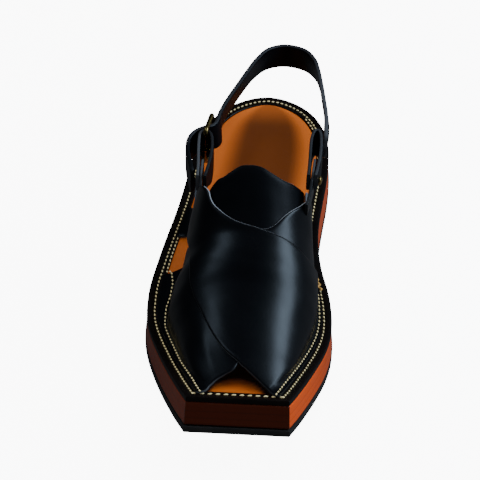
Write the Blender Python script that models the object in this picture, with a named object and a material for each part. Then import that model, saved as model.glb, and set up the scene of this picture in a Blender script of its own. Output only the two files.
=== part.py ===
# Peshawari chappal, right shoe: leather-stack sole, crossed front panels, back strap with a brass buckle.
# Metres, +Z up, toe towards -Y, buckle side (lateral) towards -X.

import bpy
import bmesh
from math import atan, cos, pi, sin, sqrt
from mathutils import Matrix, Vector

# Driving dimensions of the sole
sole_length = 0.284
ball_width = 0.1035
outsole_thickness = 0.0038
midsole_toe_thickness = 0.0130
midsole_ball_thickness = 0.0148
midsole_heel_thickness = 0.0168
rand_thickness = 0.0026
rand_width = 0.0074
insole_thickness = 0.0024
toe_spring = 0.0270
arch_rise = 0.0012
outsole_margin = 0.0005
midsole_flare = 0.0006
edge_round = 0.0007

# Driving dimensions of the upper and its fittings
instep_height = 0.0740
panel_wall = 0.0015
tongue_wall = 0.0014
stitch_margin = 0.0064
flange_width = 0.0050
strap_width = 0.0180
strap_thickness = 0.0024
loop_wall = 0.0018
loop_width = 0.0196
ear_width = 0.0180
buckle_wire_radius = 0.0013
prong_radius = 0.0010
rivet_radius = 0.0026

# Clearances
seat_gap = 0.0003
tongue_gap = 0.0005
buckle_clearance = 0.0008
fuse_overlap = 0.0007

# Turns around the last at which the wall bends out, at the toe and behind it, and the stitched flange ends
toe_wall_turn = 0.66
wall_turn = 0.93
draw_turn = 0.55
flange_turn = 1.10

# Where the toe spring ends and the arch lies, as shares of the sole length
spring_end = 0.305
spring_power = 1.5
arch_start = 0.43
arch_end = 0.64
lean_start = 0.15
lean_end = 0.36

# Sole outline: station along the sole length, then lateral and medial reach in ball widths
outline_rows = [
    {"station": 0.000, "lateral": 0.303, "medial": 0.219},
    {"station": 0.045, "lateral": 0.352, "medial": 0.262},
    {"station": 0.095, "lateral": 0.402, "medial": 0.306},
    {"station": 0.145, "lateral": 0.450, "medial": 0.348},
    {"station": 0.200, "lateral": 0.498, "medial": 0.390},
    {"station": 0.255, "lateral": 0.540, "medial": 0.419},
    {"station": 0.305, "lateral": 0.567, "medial": 0.430},
    {"station": 0.355, "lateral": 0.574, "medial": 0.424},
    {"station": 0.405, "lateral": 0.568, "medial": 0.404},
    {"station": 0.465, "lateral": 0.543, "medial": 0.366},
    {"station": 0.525, "lateral": 0.513, "medial": 0.344},
    {"station": 0.590, "lateral": 0.481, "medial": 0.343},
    {"station": 0.655, "lateral": 0.453, "medial": 0.359},
    {"station": 0.720, "lateral": 0.430, "medial": 0.378},
    {"station": 0.780, "lateral": 0.411, "medial": 0.388},
    {"station": 0.835, "lateral": 0.388, "medial": 0.386},
    {"station": 0.885, "lateral": 0.349, "medial": 0.362},
    {"station": 0.925, "lateral": 0.297, "medial": 0.318},
    {"station": 0.957, "lateral": 0.229, "medial": 0.256},
    {"station": 0.980, "lateral": 0.148, "medial": 0.179},
    {"station": 0.995, "lateral": 0.060, "medial": 0.092},
    {"station": 1.000, "lateral": -0.016, "medial": 0.016},
]

# Sections of the last: ridge place and reach in ball widths, height in instep heights
section_rows = [
    {"station": 0.000, "ridge": -0.046, "height": 0.020, "lateral": 0.146, "medial": 0.155, "round": 1.3, "flat": 1.3},
    {"station": 0.030, "ridge": -0.046, "height": 0.065, "lateral": 0.180, "medial": 0.183, "round": 1.5, "flat": 1.5},
    {"station": 0.060, "ridge": -0.046, "height": 0.118, "lateral": 0.207, "medial": 0.208, "round": 1.7, "flat": 1.7},
    {"station": 0.095, "ridge": -0.046, "height": 0.185, "lateral": 0.250, "medial": 0.240, "round": 1.9, "flat": 1.9},
    {"station": 0.140, "ridge": -0.044, "height": 0.298, "lateral": 0.290, "medial": 0.275, "round": 2.1, "flat": 2.0},
    {"station": 0.185, "ridge": -0.040, "height": 0.403, "lateral": 0.328, "medial": 0.303, "round": 2.1, "flat": 2.1},
    {"station": 0.230, "ridge": -0.035, "height": 0.490, "lateral": 0.368, "medial": 0.325, "round": 2.2, "flat": 2.2},
    {"station": 0.275, "ridge": -0.028, "height": 0.572, "lateral": 0.398, "medial": 0.337, "round": 2.2, "flat": 2.2},
    {"station": 0.320, "ridge": -0.020, "height": 0.640, "lateral": 0.398, "medial": 0.335, "round": 2.2, "flat": 2.3},
    {"station": 0.360, "ridge": -0.014, "height": 0.695, "lateral": 0.365, "medial": 0.325, "round": 2.3, "flat": 2.3},
    {"station": 0.395, "ridge": -0.020, "height": 0.785, "lateral": 0.335, "medial": 0.330, "round": 2.6, "flat": 2.3},
    {"station": 0.430, "ridge": -0.036, "height": 0.905, "lateral": 0.298, "medial": 0.352, "round": 2.9, "flat": 2.3},
    {"station": 0.465, "ridge": -0.048, "height": 1.020, "lateral": 0.268, "medial": 0.368, "round": 3.0, "flat": 2.3},
    {"station": 0.520, "ridge": -0.052, "height": 1.130, "lateral": 0.272, "medial": 0.375, "round": 3.0, "flat": 2.4},
]

# Over panel, from its medial seam at the sole across the vamp to the lateral ear.
# Front and back edges: station along the sole and turn around the last.
over_panel_rows = [
    {"front": 0.010, "front_turn": 1.100, "back": 0.410, "back_turn": 1.100},
    {"front": 0.016, "front_turn": 0.930, "back": 0.390, "back_turn": 0.950},
    {"front": 0.022, "front_turn": 0.740, "back": 0.376, "back_turn": 0.790},
    {"front": 0.030, "front_turn": 0.550, "back": 0.361, "back_turn": 0.620},
    {"front": 0.042, "front_turn": 0.340, "back": 0.359, "back_turn": 0.450},
    {"front": 0.055, "front_turn": 0.140, "back": 0.363, "back_turn": 0.280},
    {"front": 0.068, "front_turn": -0.030, "back": 0.367, "back_turn": 0.110},
    {"front": 0.086, "front_turn": -0.170, "back": 0.374, "back_turn": 0.000},
    {"front": 0.118, "front_turn": -0.290, "back": 0.383, "back_turn": -0.100},
    {"front": 0.158, "front_turn": -0.380, "back": 0.394, "back_turn": -0.180},
    {"front": 0.212, "front_turn": -0.440, "back": 0.405, "back_turn": -0.240},
    {"front": 0.270, "front_turn": -0.465, "back": 0.416, "back_turn": -0.298},
    {"front": 0.325, "front_turn": -0.500, "back": 0.427, "back_turn": -0.335},
    {"front": 0.370, "front_turn": -0.590, "back": 0.438, "back_turn": -0.360},
    {"front": 0.410, "front_turn": -0.730, "back": 0.449, "back_turn": -0.420},
    {"front": 0.440, "front_turn": -0.830, "back": 0.458, "back_turn": -0.480},
    {"front": 0.462, "front_turn": -0.850, "back": 0.464, "back_turn": -0.530},
]

# Under panel, from its lateral seam at the sole across to the medial ear
under_panel_rows = [
    {"front": 0.012, "front_turn": -1.100, "back": 0.424, "back_turn": -1.100},
    {"front": 0.013, "front_turn": -0.980, "back": 0.440, "back_turn": -1.020},
    {"front": 0.018, "front_turn": -0.800, "back": 0.428, "back_turn": -0.900},
    {"front": 0.028, "front_turn": -0.600, "back": 0.402, "back_turn": -0.760},
    {"front": 0.038, "front_turn": -0.430, "back": 0.385, "back_turn": -0.620},
    {"front": 0.046, "front_turn": -0.260, "back": 0.375, "back_turn": -0.450},
    {"front": 0.057, "front_turn": -0.080, "back": 0.370, "back_turn": -0.270},
    {"front": 0.088, "front_turn": 0.100, "back": 0.368, "back_turn": -0.110},
    {"front": 0.130, "front_turn": 0.260, "back": 0.370, "back_turn": 0.020},
    {"front": 0.190, "front_turn": 0.420, "back": 0.373, "back_turn": 0.120},
    {"front": 0.260, "front_turn": 0.590, "back": 0.382, "back_turn": 0.200},
    {"front": 0.325, "front_turn": 0.720, "back": 0.395, "back_turn": 0.275},
    {"front": 0.375, "front_turn": 0.790, "back": 0.411, "back_turn": 0.363},
    {"front": 0.410, "front_turn": 0.815, "back": 0.428, "back_turn": 0.450},
    {"front": 0.440, "front_turn": 0.830, "back": 0.446, "back_turn": 0.515},
    {"front": 0.462, "front_turn": 0.845, "back": 0.470, "back_turn": 0.590},
]

# Tongue under both panels; its free edge rises to a peak in the middle
tongue_rows = [
    {"front": 0.330, "front_turn": -0.470, "back": 0.446, "back_turn": -0.455},
    {"front": 0.318, "front_turn": -0.330, "back": 0.452, "back_turn": -0.312},
    {"front": 0.308, "front_turn": -0.210, "back": 0.452, "back_turn": -0.215},
    {"front": 0.302, "front_turn": -0.110, "back": 0.457, "back_turn": -0.120},
    {"front": 0.300, "front_turn": -0.020, "back": 0.464, "back_turn": -0.025},
    {"front": 0.302, "front_turn": 0.080, "back": 0.464, "back_turn": 0.075},
    {"front": 0.306, "front_turn": 0.180, "back": 0.459, "back_turn": 0.170},
    {"front": 0.312, "front_turn": 0.290, "back": 0.457, "back_turn": 0.280},
    {"front": 0.320, "front_turn": 0.390, "back": 0.463, "back_turn": 0.390},
    {"front": 0.330, "front_turn": 0.480, "back": 0.470, "back_turn": 0.475},
]

# Ankle legs from the sole up to the panels: station and turn of both edges, foot first
lateral_leg_rows = [
    {"front": 0.532, "front_turn": -1.100, "back": 0.626, "back_turn": -1.100},
    {"front": 0.522, "front_turn": -1.010, "back": 0.606, "back_turn": -1.010},
    {"front": 0.506, "front_turn": -0.930, "back": 0.588, "back_turn": -0.930},
    {"front": 0.482, "front_turn": -0.870, "back": 0.570, "back_turn": -0.870},
    {"front": 0.450, "front_turn": -0.820, "back": 0.556, "back_turn": -0.825},
    {"front": 0.425, "front_turn": -0.760, "back": 0.548, "back_turn": -0.800},
]
medial_leg_rows = [
    {"front": 0.560, "front_turn": 1.100, "back": 0.645, "back_turn": 1.100},
    {"front": 0.544, "front_turn": 1.010, "back": 0.622, "back_turn": 1.010},
    {"front": 0.522, "front_turn": 0.930, "back": 0.600, "back_turn": 0.930},
    {"front": 0.492, "front_turn": 0.870, "back": 0.578, "back_turn": 0.870},
    {"front": 0.458, "front_turn": 0.820, "back": 0.560, "back_turn": 0.825},
    {"front": 0.432, "front_turn": 0.750, "back": 0.548, "back_turn": 0.770},
]

# Back strap from the medial loop round the heel to the buckle: plan place in sole lengths and ball widths,
# middle height and inward lean of the top edge in strap widths
strap_rows = [
    {"along": 0.598, "across": 0.352, "height": 4.48, "lean": 0.00},
    {"along": 0.640, "across": 0.354, "height": 4.44, "lean": -0.02},
    {"along": 0.675, "across": 0.357, "height": 4.39, "lean": -0.08},
    {"along": 0.712, "across": 0.353, "height": 4.32, "lean": -0.14},
    {"along": 0.755, "across": 0.342, "height": 4.22, "lean": -0.17},
    {"along": 0.803, "across": 0.331, "height": 4.10, "lean": -0.18},
    {"along": 0.852, "across": 0.316, "height": 3.96, "lean": -0.18},
    {"along": 0.903, "across": 0.287, "height": 3.82, "lean": -0.16},
    {"along": 0.945, "across": 0.222, "height": 3.68, "lean": -0.13},
    {"along": 0.964, "across": 0.106, "height": 3.60, "lean": -0.11},
    {"along": 0.948, "across": 0.000, "height": 3.62, "lean": -0.15},
    {"along": 0.907, "across": -0.068, "height": 3.70, "lean": -0.20},
    {"along": 0.855, "across": -0.120, "height": 3.80, "lean": -0.22},
    {"along": 0.803, "across": -0.163, "height": 3.92, "lean": -0.22},
    {"along": 0.750, "across": -0.204, "height": 4.06, "lean": -0.20},
    {"along": 0.708, "across": -0.228, "height": 4.16, "lean": -0.13},
    {"along": 0.678, "across": -0.237, "height": 4.22, "lean": -0.02},
    {"along": 0.657, "across": -0.237, "height": 4.25, "lean": 0.08},
    {"along": 0.642, "across": -0.250, "height": 4.26, "lean": 0.08},
    {"along": 0.633, "across": -0.279, "height": 4.27, "lean": 0.00},
    {"along": 0.627, "across": -0.316, "height": 4.28, "lean": 0.00},
    {"along": 0.617, "across": -0.354, "height": 4.28, "lean": 0.00},
    {"along": 0.600, "across": -0.384, "height": 4.28, "lean": 0.00},
    {"along": 0.577, "across": -0.396, "height": 4.28, "lean": 0.00},
    {"along": 0.550, "across": -0.389, "height": 4.27, "lean": 0.00},
    {"along": 0.521, "across": -0.371, "height": 4.26, "lean": 0.00},
    {"along": 0.492, "across": -0.353, "height": 4.25, "lean": 0.00},
]

# Ears between the two leaves of each loop, in plan
lateral_ear_rows = [
    {"along": 0.425, "across": -0.300},
    {"along": 0.455, "across": -0.306},
    {"along": 0.490, "across": -0.307},
    {"along": 0.528, "across": -0.306},
]
medial_ear_rows = [
    {"along": 0.432, "across": 0.262},
    {"along": 0.455, "across": 0.276},
    {"along": 0.490, "across": 0.290},
    {"along": 0.528, "across": 0.298},
]

# Folded loops at the ears, in plan from the inner root round the fold to the outer root
lateral_loop_rows = [
    {"along": 0.477, "across": -0.287},
    {"along": 0.500, "across": -0.277},
    {"along": 0.528, "across": -0.267},
    {"along": 0.560, "across": -0.262},
    {"along": 0.590, "across": -0.265},
    {"along": 0.609, "across": -0.278},
    {"along": 0.616, "across": -0.300},
    {"along": 0.615, "across": -0.320},
    {"along": 0.604, "across": -0.334},
    {"along": 0.580, "across": -0.336},
    {"along": 0.545, "across": -0.332},
    {"along": 0.510, "across": -0.327},
    {"along": 0.477, "across": -0.325},
]
medial_loop_rows = [
    {"along": 0.477, "across": 0.265},
    {"along": 0.510, "across": 0.270},
    {"along": 0.545, "across": 0.272},
    {"along": 0.575, "across": 0.274},
    {"along": 0.598, "across": 0.280},
    {"along": 0.613, "across": 0.294},
    {"along": 0.614, "across": 0.314},
    {"along": 0.600, "across": 0.326},
    {"along": 0.570, "across": 0.329},
    {"along": 0.540, "across": 0.326},
    {"along": 0.510, "across": 0.318},
    {"along": 0.477, "across": 0.305},
]

# Middle heights of the fittings, in strap widths
lateral_loop_height = 4.25
medial_loop_height = 4.48

# Buckle bars in plan, in sole lengths and ball widths
hinge_bar = {"along": 0.602, "across": -0.304}
rest_bar = {"along": 0.659, "across": -0.276}


def smooth_value(rows, key, station):
    """Value of one column at a station, on a monotone curve through the rows."""
    stations = [row["station"] for row in rows]
    values = [row[key] for row in rows]
    station = min(max(station, stations[0]), stations[-1])
    slopes = []
    for i in range(len(rows)):
        if i == 0 or i == len(rows) - 1:
            near = 0 if i == 0 else i - 1
            slopes.append((values[near + 1] - values[near]) / (stations[near + 1] - stations[near]))
            continue
        before = (values[i] - values[i - 1]) / (stations[i] - stations[i - 1])
        after = (values[i + 1] - values[i]) / (stations[i + 1] - stations[i])
        slopes.append(0.0 if before * after <= 0 else 2 * before * after / (before + after))
    i = max(k for k in range(len(rows) - 1) if stations[k] <= station)
    span = stations[i + 1] - stations[i]
    t = (station - stations[i]) / span
    start = (1 + 2 * t) * (1 - t) ** 2 * values[i] + t * (1 - t) ** 2 * span * slopes[i]
    end = t * t * (3 - 2 * t) * values[i + 1] + t * t * (t - 1) * span * slopes[i + 1]
    return start + end


def sole_lift(station):
    """Height of the outsole's underside: toe spring ahead of the ball, a low arch at the waist."""
    if station < spring_end:
        return toe_spring * (1 - station / spring_end) ** spring_power
    if arch_start < station < arch_end:
        return arch_rise * sin(pi * (station - arch_start) / (arch_end - arch_start)) ** 2
    return 0.0


def sole_tilt(station):
    """Slope angle of the toe spring, which the stacked pieces follow."""
    if station >= spring_end:
        return 0.0
    run = spring_end * sole_length
    return atan(toe_spring * spring_power / run * (1 - max(station, 0.0) / spring_end) ** (spring_power - 1))


def stack_lean(station):
    """Forward lean of everything stacked on the sole: the toe spring's slope, eased out behind it."""
    if station <= lean_start:
        return sole_tilt(station)
    span = lean_end - lean_start
    t = min((station - lean_start) / span, 1.0)
    slope = (sole_tilt(lean_start) - sole_tilt(lean_start - 0.001)) / 0.001
    return (1 - t) ** 2 * (sole_tilt(lean_start) * (1 + 2 * t) + slope * span * t)


def above_sole(x, y, height):
    """Point at a height above the outsole's underside, measured along the lean of the stack."""
    station = y / sole_length
    lean = stack_lean(station)
    return Vector((x, y + height * sin(lean), sole_lift(station) + height * cos(lean)))


def midsole_thickness(station):
    if station < spring_end:
        t = station / spring_end
        return midsole_toe_thickness + (midsole_ball_thickness - midsole_toe_thickness) * t
    t = min(max((station - spring_end) / (0.80 - spring_end), 0.0), 1.0)
    return midsole_ball_thickness + (midsole_heel_thickness - midsole_ball_thickness) * t * t * (3 - 2 * t)


def deck_height(station):
    """Top of the rand above the outsole's underside."""
    return outsole_thickness + midsole_thickness(station) + rand_thickness + 2 * seat_gap


def smooth_step(value):
    value = min(max(value, 0.0), 1.0)
    return value * value * (3 - 2 * value)


def section_point(station, turn):
    """Point of the last's surface; turn runs from -1 (lateral foot) over 0 (ridge) to 1 (medial foot).

    Low on its side the wall draws in to the seam, then runs out flat to the stitched edge at flange_turn.
    """
    side = -1 if turn < 0 else 1
    power = 2 / smooth_value(section_rows, "round" if side < 0 else "flat", station)
    reach = smooth_value(section_rows, "lateral" if side < 0 else "medial", station) * ball_width
    ridge = smooth_value(section_rows, "ridge", station) * ball_width
    height = smooth_value(section_rows, "height", station) * instep_height
    edge = smooth_value(outline_rows, "lateral" if side < 0 else "medial", station) * ball_width
    bend_turn = toe_wall_turn + (wall_turn - toe_wall_turn) * smooth_step(station / 0.24)
    angle = (1 - min(abs(turn), bend_turn)) * pi / 2
    tip = edge - stitch_margin - side * ridge
    seam = min(reach, tip - flange_width)
    drawn = smooth_step((min(abs(turn), bend_turn) - draw_turn) / (wall_turn - draw_turn))
    out = (reach - (reach - seam) * drawn) * cos(angle) ** power
    rise = height * sin(angle) ** power
    if abs(turn) > bend_turn:
        t = (flange_turn - min(abs(turn), flange_turn)) / (flange_turn - bend_turn)
        out = (1 - t) ** 2 * tip + 2 * t * (1 - t) * seam + t * t * out
        rise = t * t * rise
    return above_sole(ridge + side * out, station * sole_length, deck_height(station) + seat_gap + rise)


def surface_point(station, turn, lift):
    """Point lifted square to the last's surface."""
    step = 0.004
    near = max(min(turn, flange_turn - 0.01), 0.01 - flange_turn)
    along = section_point(station + step, near) - section_point(max(station - step, 0.0), near)
    around = section_point(station, near + 0.01) - section_point(station, near - 0.01)
    return section_point(station, turn) + around.cross(along).normalized() * lift


def layer_share(station, turn):
    """Share of its layer height that a panel keeps: none where it is stitched to the sole and at the toe."""
    return smooth_step((flange_turn - abs(turn)) / 0.35) * smooth_step(station / 0.10)


def smooth_rows(rows, keys, count, crowd=0.0):
    """Points on a Catmull-Rom curve through the rows; crowd draws the steps together at the first row."""
    points = []
    last = len(rows) - 1
    for k in range(count + 1):
        share = k / count
        place = share * (1 - crowd + crowd * share) * last
        i = min(int(place), last - 1)
        t = place - i
        point = {}
        for key in keys:
            p0 = rows[max(i - 1, 0)][key]
            p1 = rows[i][key]
            p2 = rows[i + 1][key]
            p3 = rows[min(i + 2, last)][key]
            bend = 2 * p0 - 5 * p1 + 4 * p2 - p3
            twist = 3 * p1 - p0 - 3 * p2 + p3
            point[key] = 0.5 * (2 * p1 + (p2 - p0) * t + bend * t * t + twist * t ** 3)
        points.append(point)
    return points


def make_material(name, colour, roughness, metallic=0.0):
    material = bpy.data.materials.new(name)
    material.use_nodes = True
    shader = material.node_tree.nodes["Principled BSDF"]
    shader.inputs["Base Color"].default_value = (*colour, 1.0)
    shader.inputs["Roughness"].default_value = roughness
    shader.inputs["Metallic"].default_value = metallic
    material.diffuse_color = (*colour, 1.0)
    return material


def add_object(name, verts, faces, material, collection):
    mesh = bpy.data.meshes.new(name)
    mesh.from_pydata([tuple(v) for v in verts], [], faces)
    shape = bmesh.new()
    shape.from_mesh(mesh)
    bmesh.ops.remove_doubles(shape, verts=shape.verts, dist=0.00001)
    bmesh.ops.recalc_face_normals(shape, faces=shape.faces)
    shape.to_mesh(mesh)
    shape.free()
    mesh.materials.append(material)
    obj = bpy.data.objects.new(name, mesh)
    collection.objects.link(obj)
    return obj


def outline_loop(offset):
    """Closed outline in plan, offset outward, from the lateral toe corner round the heel to the medial one."""
    per_row = 2
    rows = smooth_rows(outline_rows, ("station", "lateral", "medial"), per_row * (len(outline_rows) - 1))
    sides = []
    for side, key in ((-1, "lateral"), (1, "medial")):
        line = [Vector((side * row[key] * ball_width, row["station"] * sole_length)) for row in rows]
        moved = []
        for i in range(len(line)):
            ahead = line[min(i + 1, len(line) - 1)]
            behind = line[max(i - 1, 0)]
            direction = (ahead - behind).normalized()
            if i == len(line) - 1:
                moved.append(line[i] + Vector((0, offset)))
                continue
            if i == 0:
                lean = abs(direction.x)
                reach = (1 - lean) / sqrt(1 - lean * lean)
                moved.append(line[i] + Vector((side * offset * reach, -offset)))
                continue
            normal = Vector((direction.y, -direction.x)) * side
            moved.append(line[i] + normal * offset)
        sides.append(moved)
    lateral, medial = sides
    return lateral + medial[-2::-1]


def sole_ring(offset, height):
    """Outline loop raised onto the sprung sole at a height given as a function of the station."""
    ring = []
    for point in outline_loop(offset):
        station = min(max(point.y / sole_length, 0.0), 1.0)
        ring.append(above_sole(point.x, point.y, height(station)))
    return ring


def bridge(rings, closed_stack=False):
    """Side faces between loops of equal count."""
    count = len(rings[0])
    faces = []
    pairs = len(rings) if closed_stack else len(rings) - 1
    for r in range(pairs):
        upper = (r + 1) % len(rings)
        for i in range(count):
            j = (i + 1) % count
            faces.append((r * count + i, r * count + j, upper * count + j, upper * count + i))
    return faces


def cap(start, count):
    """Cap made of rungs between the two sides of an outline loop."""
    faces = []
    half = count // 2
    for i in range(half):
        left = start + i
        right = start + count - 1 - i
        if left + 1 == right - 1:
            faces.append((left, left + 1, right))
        else:
            faces.append((left, left + 1, right - 1, right))
    return faces


def sole_slab(name, profile, material, collection):
    """Solid slab whose side follows rows of outward offset and height."""
    rings = [sole_ring(row["offset"], row["height"]) for row in profile]
    count = len(rings[0])
    verts = [v for ring in rings for v in ring]
    faces = bridge(rings) + cap(0, count) + cap(count * (len(rings) - 1), count)
    return add_object(name, verts, faces, material, collection)


def sole_band(name, profile, material, collection):
    """Closed band around the sole's edge, with the insole's opening inside."""
    rings = [sole_ring(row["offset"], row["height"]) for row in profile]
    verts = [v for ring in rings for v in ring]
    return add_object(name, verts, bridge(rings, closed_stack=True), material, collection)


def leather_panel(name, rows, layer, wall, steps, across, crowd, material, collection):
    """Panel on the last's surface between two edge lines, with a real wall.

    The panel starts its layer height above the last and settles onto the sole at the stitched base.
    """
    keys = ("front", "front_turn", "back", "back_turn")
    lines = smooth_rows(rows, keys, steps, crowd)
    inner = []
    outer = []
    for line in lines:
        for k in range(across + 1):
            t = k / across
            station = line["front"] + (line["back"] - line["front"]) * t
            turn = line["front_turn"] + (line["back_turn"] - line["front_turn"]) * t
            lift = layer * layer_share(station, turn)
            inner.append(surface_point(station, turn, lift))
            outer.append(surface_point(station, turn, lift + wall))
    width = across + 1
    size = len(inner)
    faces = []
    for i in range(steps):
        for k in range(across):
            a = i * width + k
            faces.append((a, a + 1, a + width + 1, a + width))
            faces.append((size + a, size + a + width, size + a + width + 1, size + a + 1))
    for i in range(steps):
        for k in (0, across):
            a = i * width + k
            faces.append((a, a + width, size + a + width, size + a))
    for k in range(across):
        for i in (0, steps):
            a = i * width + k
            faces.append((a, a + 1, size + a + 1, size + a))
    return add_object(name, inner + outer, faces, material, collection)


def strip_solid(name, path, width, thickness, material, collection):
    """Flat strap swept along a path of places, side directions and upward directions."""
    chamfer = thickness * 0.28
    verts = []
    for place, side, up in path:
        half_side = thickness / 2
        half_up = width / 2
        corners = (
            (half_side, half_up - chamfer), (half_side - chamfer, half_up),
            (chamfer - half_side, half_up), (-half_side, half_up - chamfer),
            (-half_side, chamfer - half_up), (chamfer - half_side, -half_up),
            (half_side - chamfer, -half_up), (half_side, chamfer - half_up),
        )
        for a, b in corners:
            verts.append(place + side * a + up * b)
    count = 8
    rings = len(path)
    faces = []
    for r in range(rings - 1):
        for i in range(count):
            j = (i + 1) % count
            faces.append((r * count + i, r * count + j, (r + 1) * count + j, (r + 1) * count + i))
    faces.append(tuple(range(count)))
    faces.append(tuple((rings - 1) * count + i for i in range(count)))
    return add_object(name, verts, faces, material, collection)


def plan_path(rows, steps, height_of, lean_of):
    """Path of a standing strip from rows in plan; side points to its right when walked forward."""
    keys = tuple(rows[0].keys())
    points = smooth_rows(rows, keys, steps)
    places = [
        Vector((p["across"] * ball_width, p["along"] * sole_length, height_of(p)))
        for p in points
    ]
    path = []
    for i, place in enumerate(places):
        ahead = places[min(i + 1, steps)]
        behind = places[max(i - 1, 0)]
        direction = (ahead - behind).normalized()
        side = Vector((direction.y, -direction.x, 0)).normalized()
        up = (Vector((0, 0, 1)) + side * lean_of(points[i])).normalized()
        up = (up - direction * up.dot(direction)).normalized()
        path.append((place, direction.cross(up).normalized(), up))
    return path


def apply_boolean(target, tool, operation):
    modifier = target.modifiers.new("cut", "BOOLEAN")
    modifier.operation = operation
    modifier.solver = "EXACT"
    modifier.object = tool
    bpy.context.view_layer.objects.active = target
    bpy.ops.object.modifier_apply(modifier=modifier.name)
    bpy.data.objects.remove(tool, do_unlink=True)


def wire_object(name, points, radius, closed, material, collection):
    """Round brass wire along a poly line."""
    curve = bpy.data.curves.new(name, "CURVE")
    curve.dimensions = "3D"
    curve.bevel_depth = radius
    curve.bevel_resolution = 2
    curve.use_fill_caps = True
    spline = curve.splines.new("POLY")
    spline.points.add(len(points) - 1)
    for target, point in zip(spline.points, points):
        target.co = (*point, 1.0)
    spline.use_cyclic_u = closed
    holder = bpy.data.objects.new(name, curve)
    collection.objects.link(holder)
    bpy.context.view_layer.update()
    mesh = bpy.data.meshes.new_from_object(holder)
    bpy.data.objects.remove(holder, do_unlink=True)
    shape = bmesh.new()
    shape.from_mesh(mesh)
    bmesh.ops.remove_doubles(shape, verts=shape.verts, dist=0.00001)
    bmesh.ops.recalc_face_normals(shape, faces=shape.faces)
    shape.to_mesh(mesh)
    shape.free()
    mesh.materials.clear()
    mesh.materials.append(material)
    obj = bpy.data.objects.new(name, mesh)
    collection.objects.link(obj)
    return obj


def build_sole(collection, black_rubber, stacked_leather, black_leather, tan_leather):
    def outsole_top(station):
        return outsole_thickness

    def midsole_bottom(station):
        return outsole_thickness + seat_gap

    def midsole_top(station):
        return midsole_bottom(station) + midsole_thickness(station)

    def rand_bottom(station):
        return midsole_top(station) + seat_gap

    def rand_top(station):
        return rand_bottom(station) + rand_thickness

    flat = outsole_margin + midsole_flare
    sole_slab("outsole", [
        {"offset": flat - edge_round, "height": lambda s: 0.0},
        {"offset": flat, "height": lambda s: edge_round},
        {"offset": flat, "height": lambda s: outsole_thickness - edge_round},
        {"offset": flat - edge_round, "height": outsole_top},
    ], black_rubber, collection)
    sole_slab("midsole", [
        {"offset": midsole_flare - edge_round, "height": midsole_bottom},
        {"offset": midsole_flare, "height": lambda s: midsole_bottom(s) + edge_round},
        {"offset": 0.0, "height": lambda s: midsole_top(s) - edge_round},
        {"offset": -edge_round, "height": midsole_top},
    ], stacked_leather, collection)
    sole_band("rand", [
        {"offset": -rand_width, "height": rand_bottom},
        {"offset": 0.0, "height": rand_bottom},
        {"offset": 0.0, "height": lambda s: rand_top(s) - edge_round},
        {"offset": -edge_round, "height": rand_top},
        {"offset": -rand_width, "height": rand_top},
    ], black_leather, collection)
    inside = -rand_width - seat_gap
    sole_slab("insole", [
        {"offset": inside, "height": rand_bottom},
        {"offset": inside, "height": lambda s: rand_bottom(s) + insole_thickness - edge_round / 2},
        {"offset": inside - edge_round / 2, "height": lambda s: rand_bottom(s) + insole_thickness},
    ], tan_leather, collection)


def build_upper(collection, black_leather):
    under_layer = tongue_wall + tongue_gap
    over_layer = under_layer + panel_wall - fuse_overlap
    over_wall = panel_wall + fuse_overlap
    medial_leg_layer = under_layer - panel_wall + fuse_overlap
    leather_panel("tongue", tongue_rows, 0.0, tongue_wall, 27, 9, 0.0, black_leather, collection)
    upper = leather_panel("upper", under_panel_rows, under_layer, panel_wall, 36, 14, 0.6, black_leather, collection)
    over = leather_panel("over", over_panel_rows, over_layer, over_wall, 36, 14, 0.6, black_leather, collection)
    apply_boolean(upper, over, "UNION")
    for name, rows, layer in (
        ("lateral_leg", lateral_leg_rows, under_layer),
        ("medial_leg", medial_leg_rows, medial_leg_layer),
    ):
        leg = leather_panel(name, rows, layer, panel_wall, 10, 5, 0.5, black_leather, collection)
        apply_boolean(upper, leg, "UNION")
    for name, rows, middle in (
        ("lateral_ear", lateral_ear_rows, lateral_loop_height),
        ("medial_ear", medial_ear_rows, medial_loop_height),
    ):
        path = plan_path(rows, 9, lambda p: middle * strap_width, lambda p: 0.0)
        ear = strip_solid(name, path, ear_width, panel_wall, black_leather, collection)
        apply_boolean(upper, ear, "UNION")


def plan_point(row, height):
    return Vector((row["across"] * ball_width, row["along"] * sole_length, height))


def vertical_cutter(name, centre, radius, height, collection):
    bpy.ops.mesh.primitive_cylinder_add(vertices=24, radius=radius, depth=height, location=centre)
    cutter = bpy.context.object
    cutter.name = name
    for holder in list(cutter.users_collection):
        holder.objects.unlink(cutter)
    collection.objects.link(cutter)
    return cutter


def prong_path():
    """Prong from the ring round the hinge bar, through the strap, to the outer side of the rest bar."""
    middle = lateral_loop_height * strap_width
    hinge = plan_point(hinge_bar, middle)
    rest = plan_point(rest_bar, middle)
    run = (rest - hinge).normalized()
    side = Vector((-run.y, run.x, 0))
    ring = buckle_wire_radius + seat_gap + prong_radius
    path = []
    for k in range(11):
        angle = pi * (0.30 + 1.45 * k / 10)
        path.append(hinge + run * (ring * cos(angle)) + side * (ring * sin(angle)))
    path.append(rest - run * 0.0030 + side * ring)
    path.append(rest + run * 0.0024 + side * ring)
    return path


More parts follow.
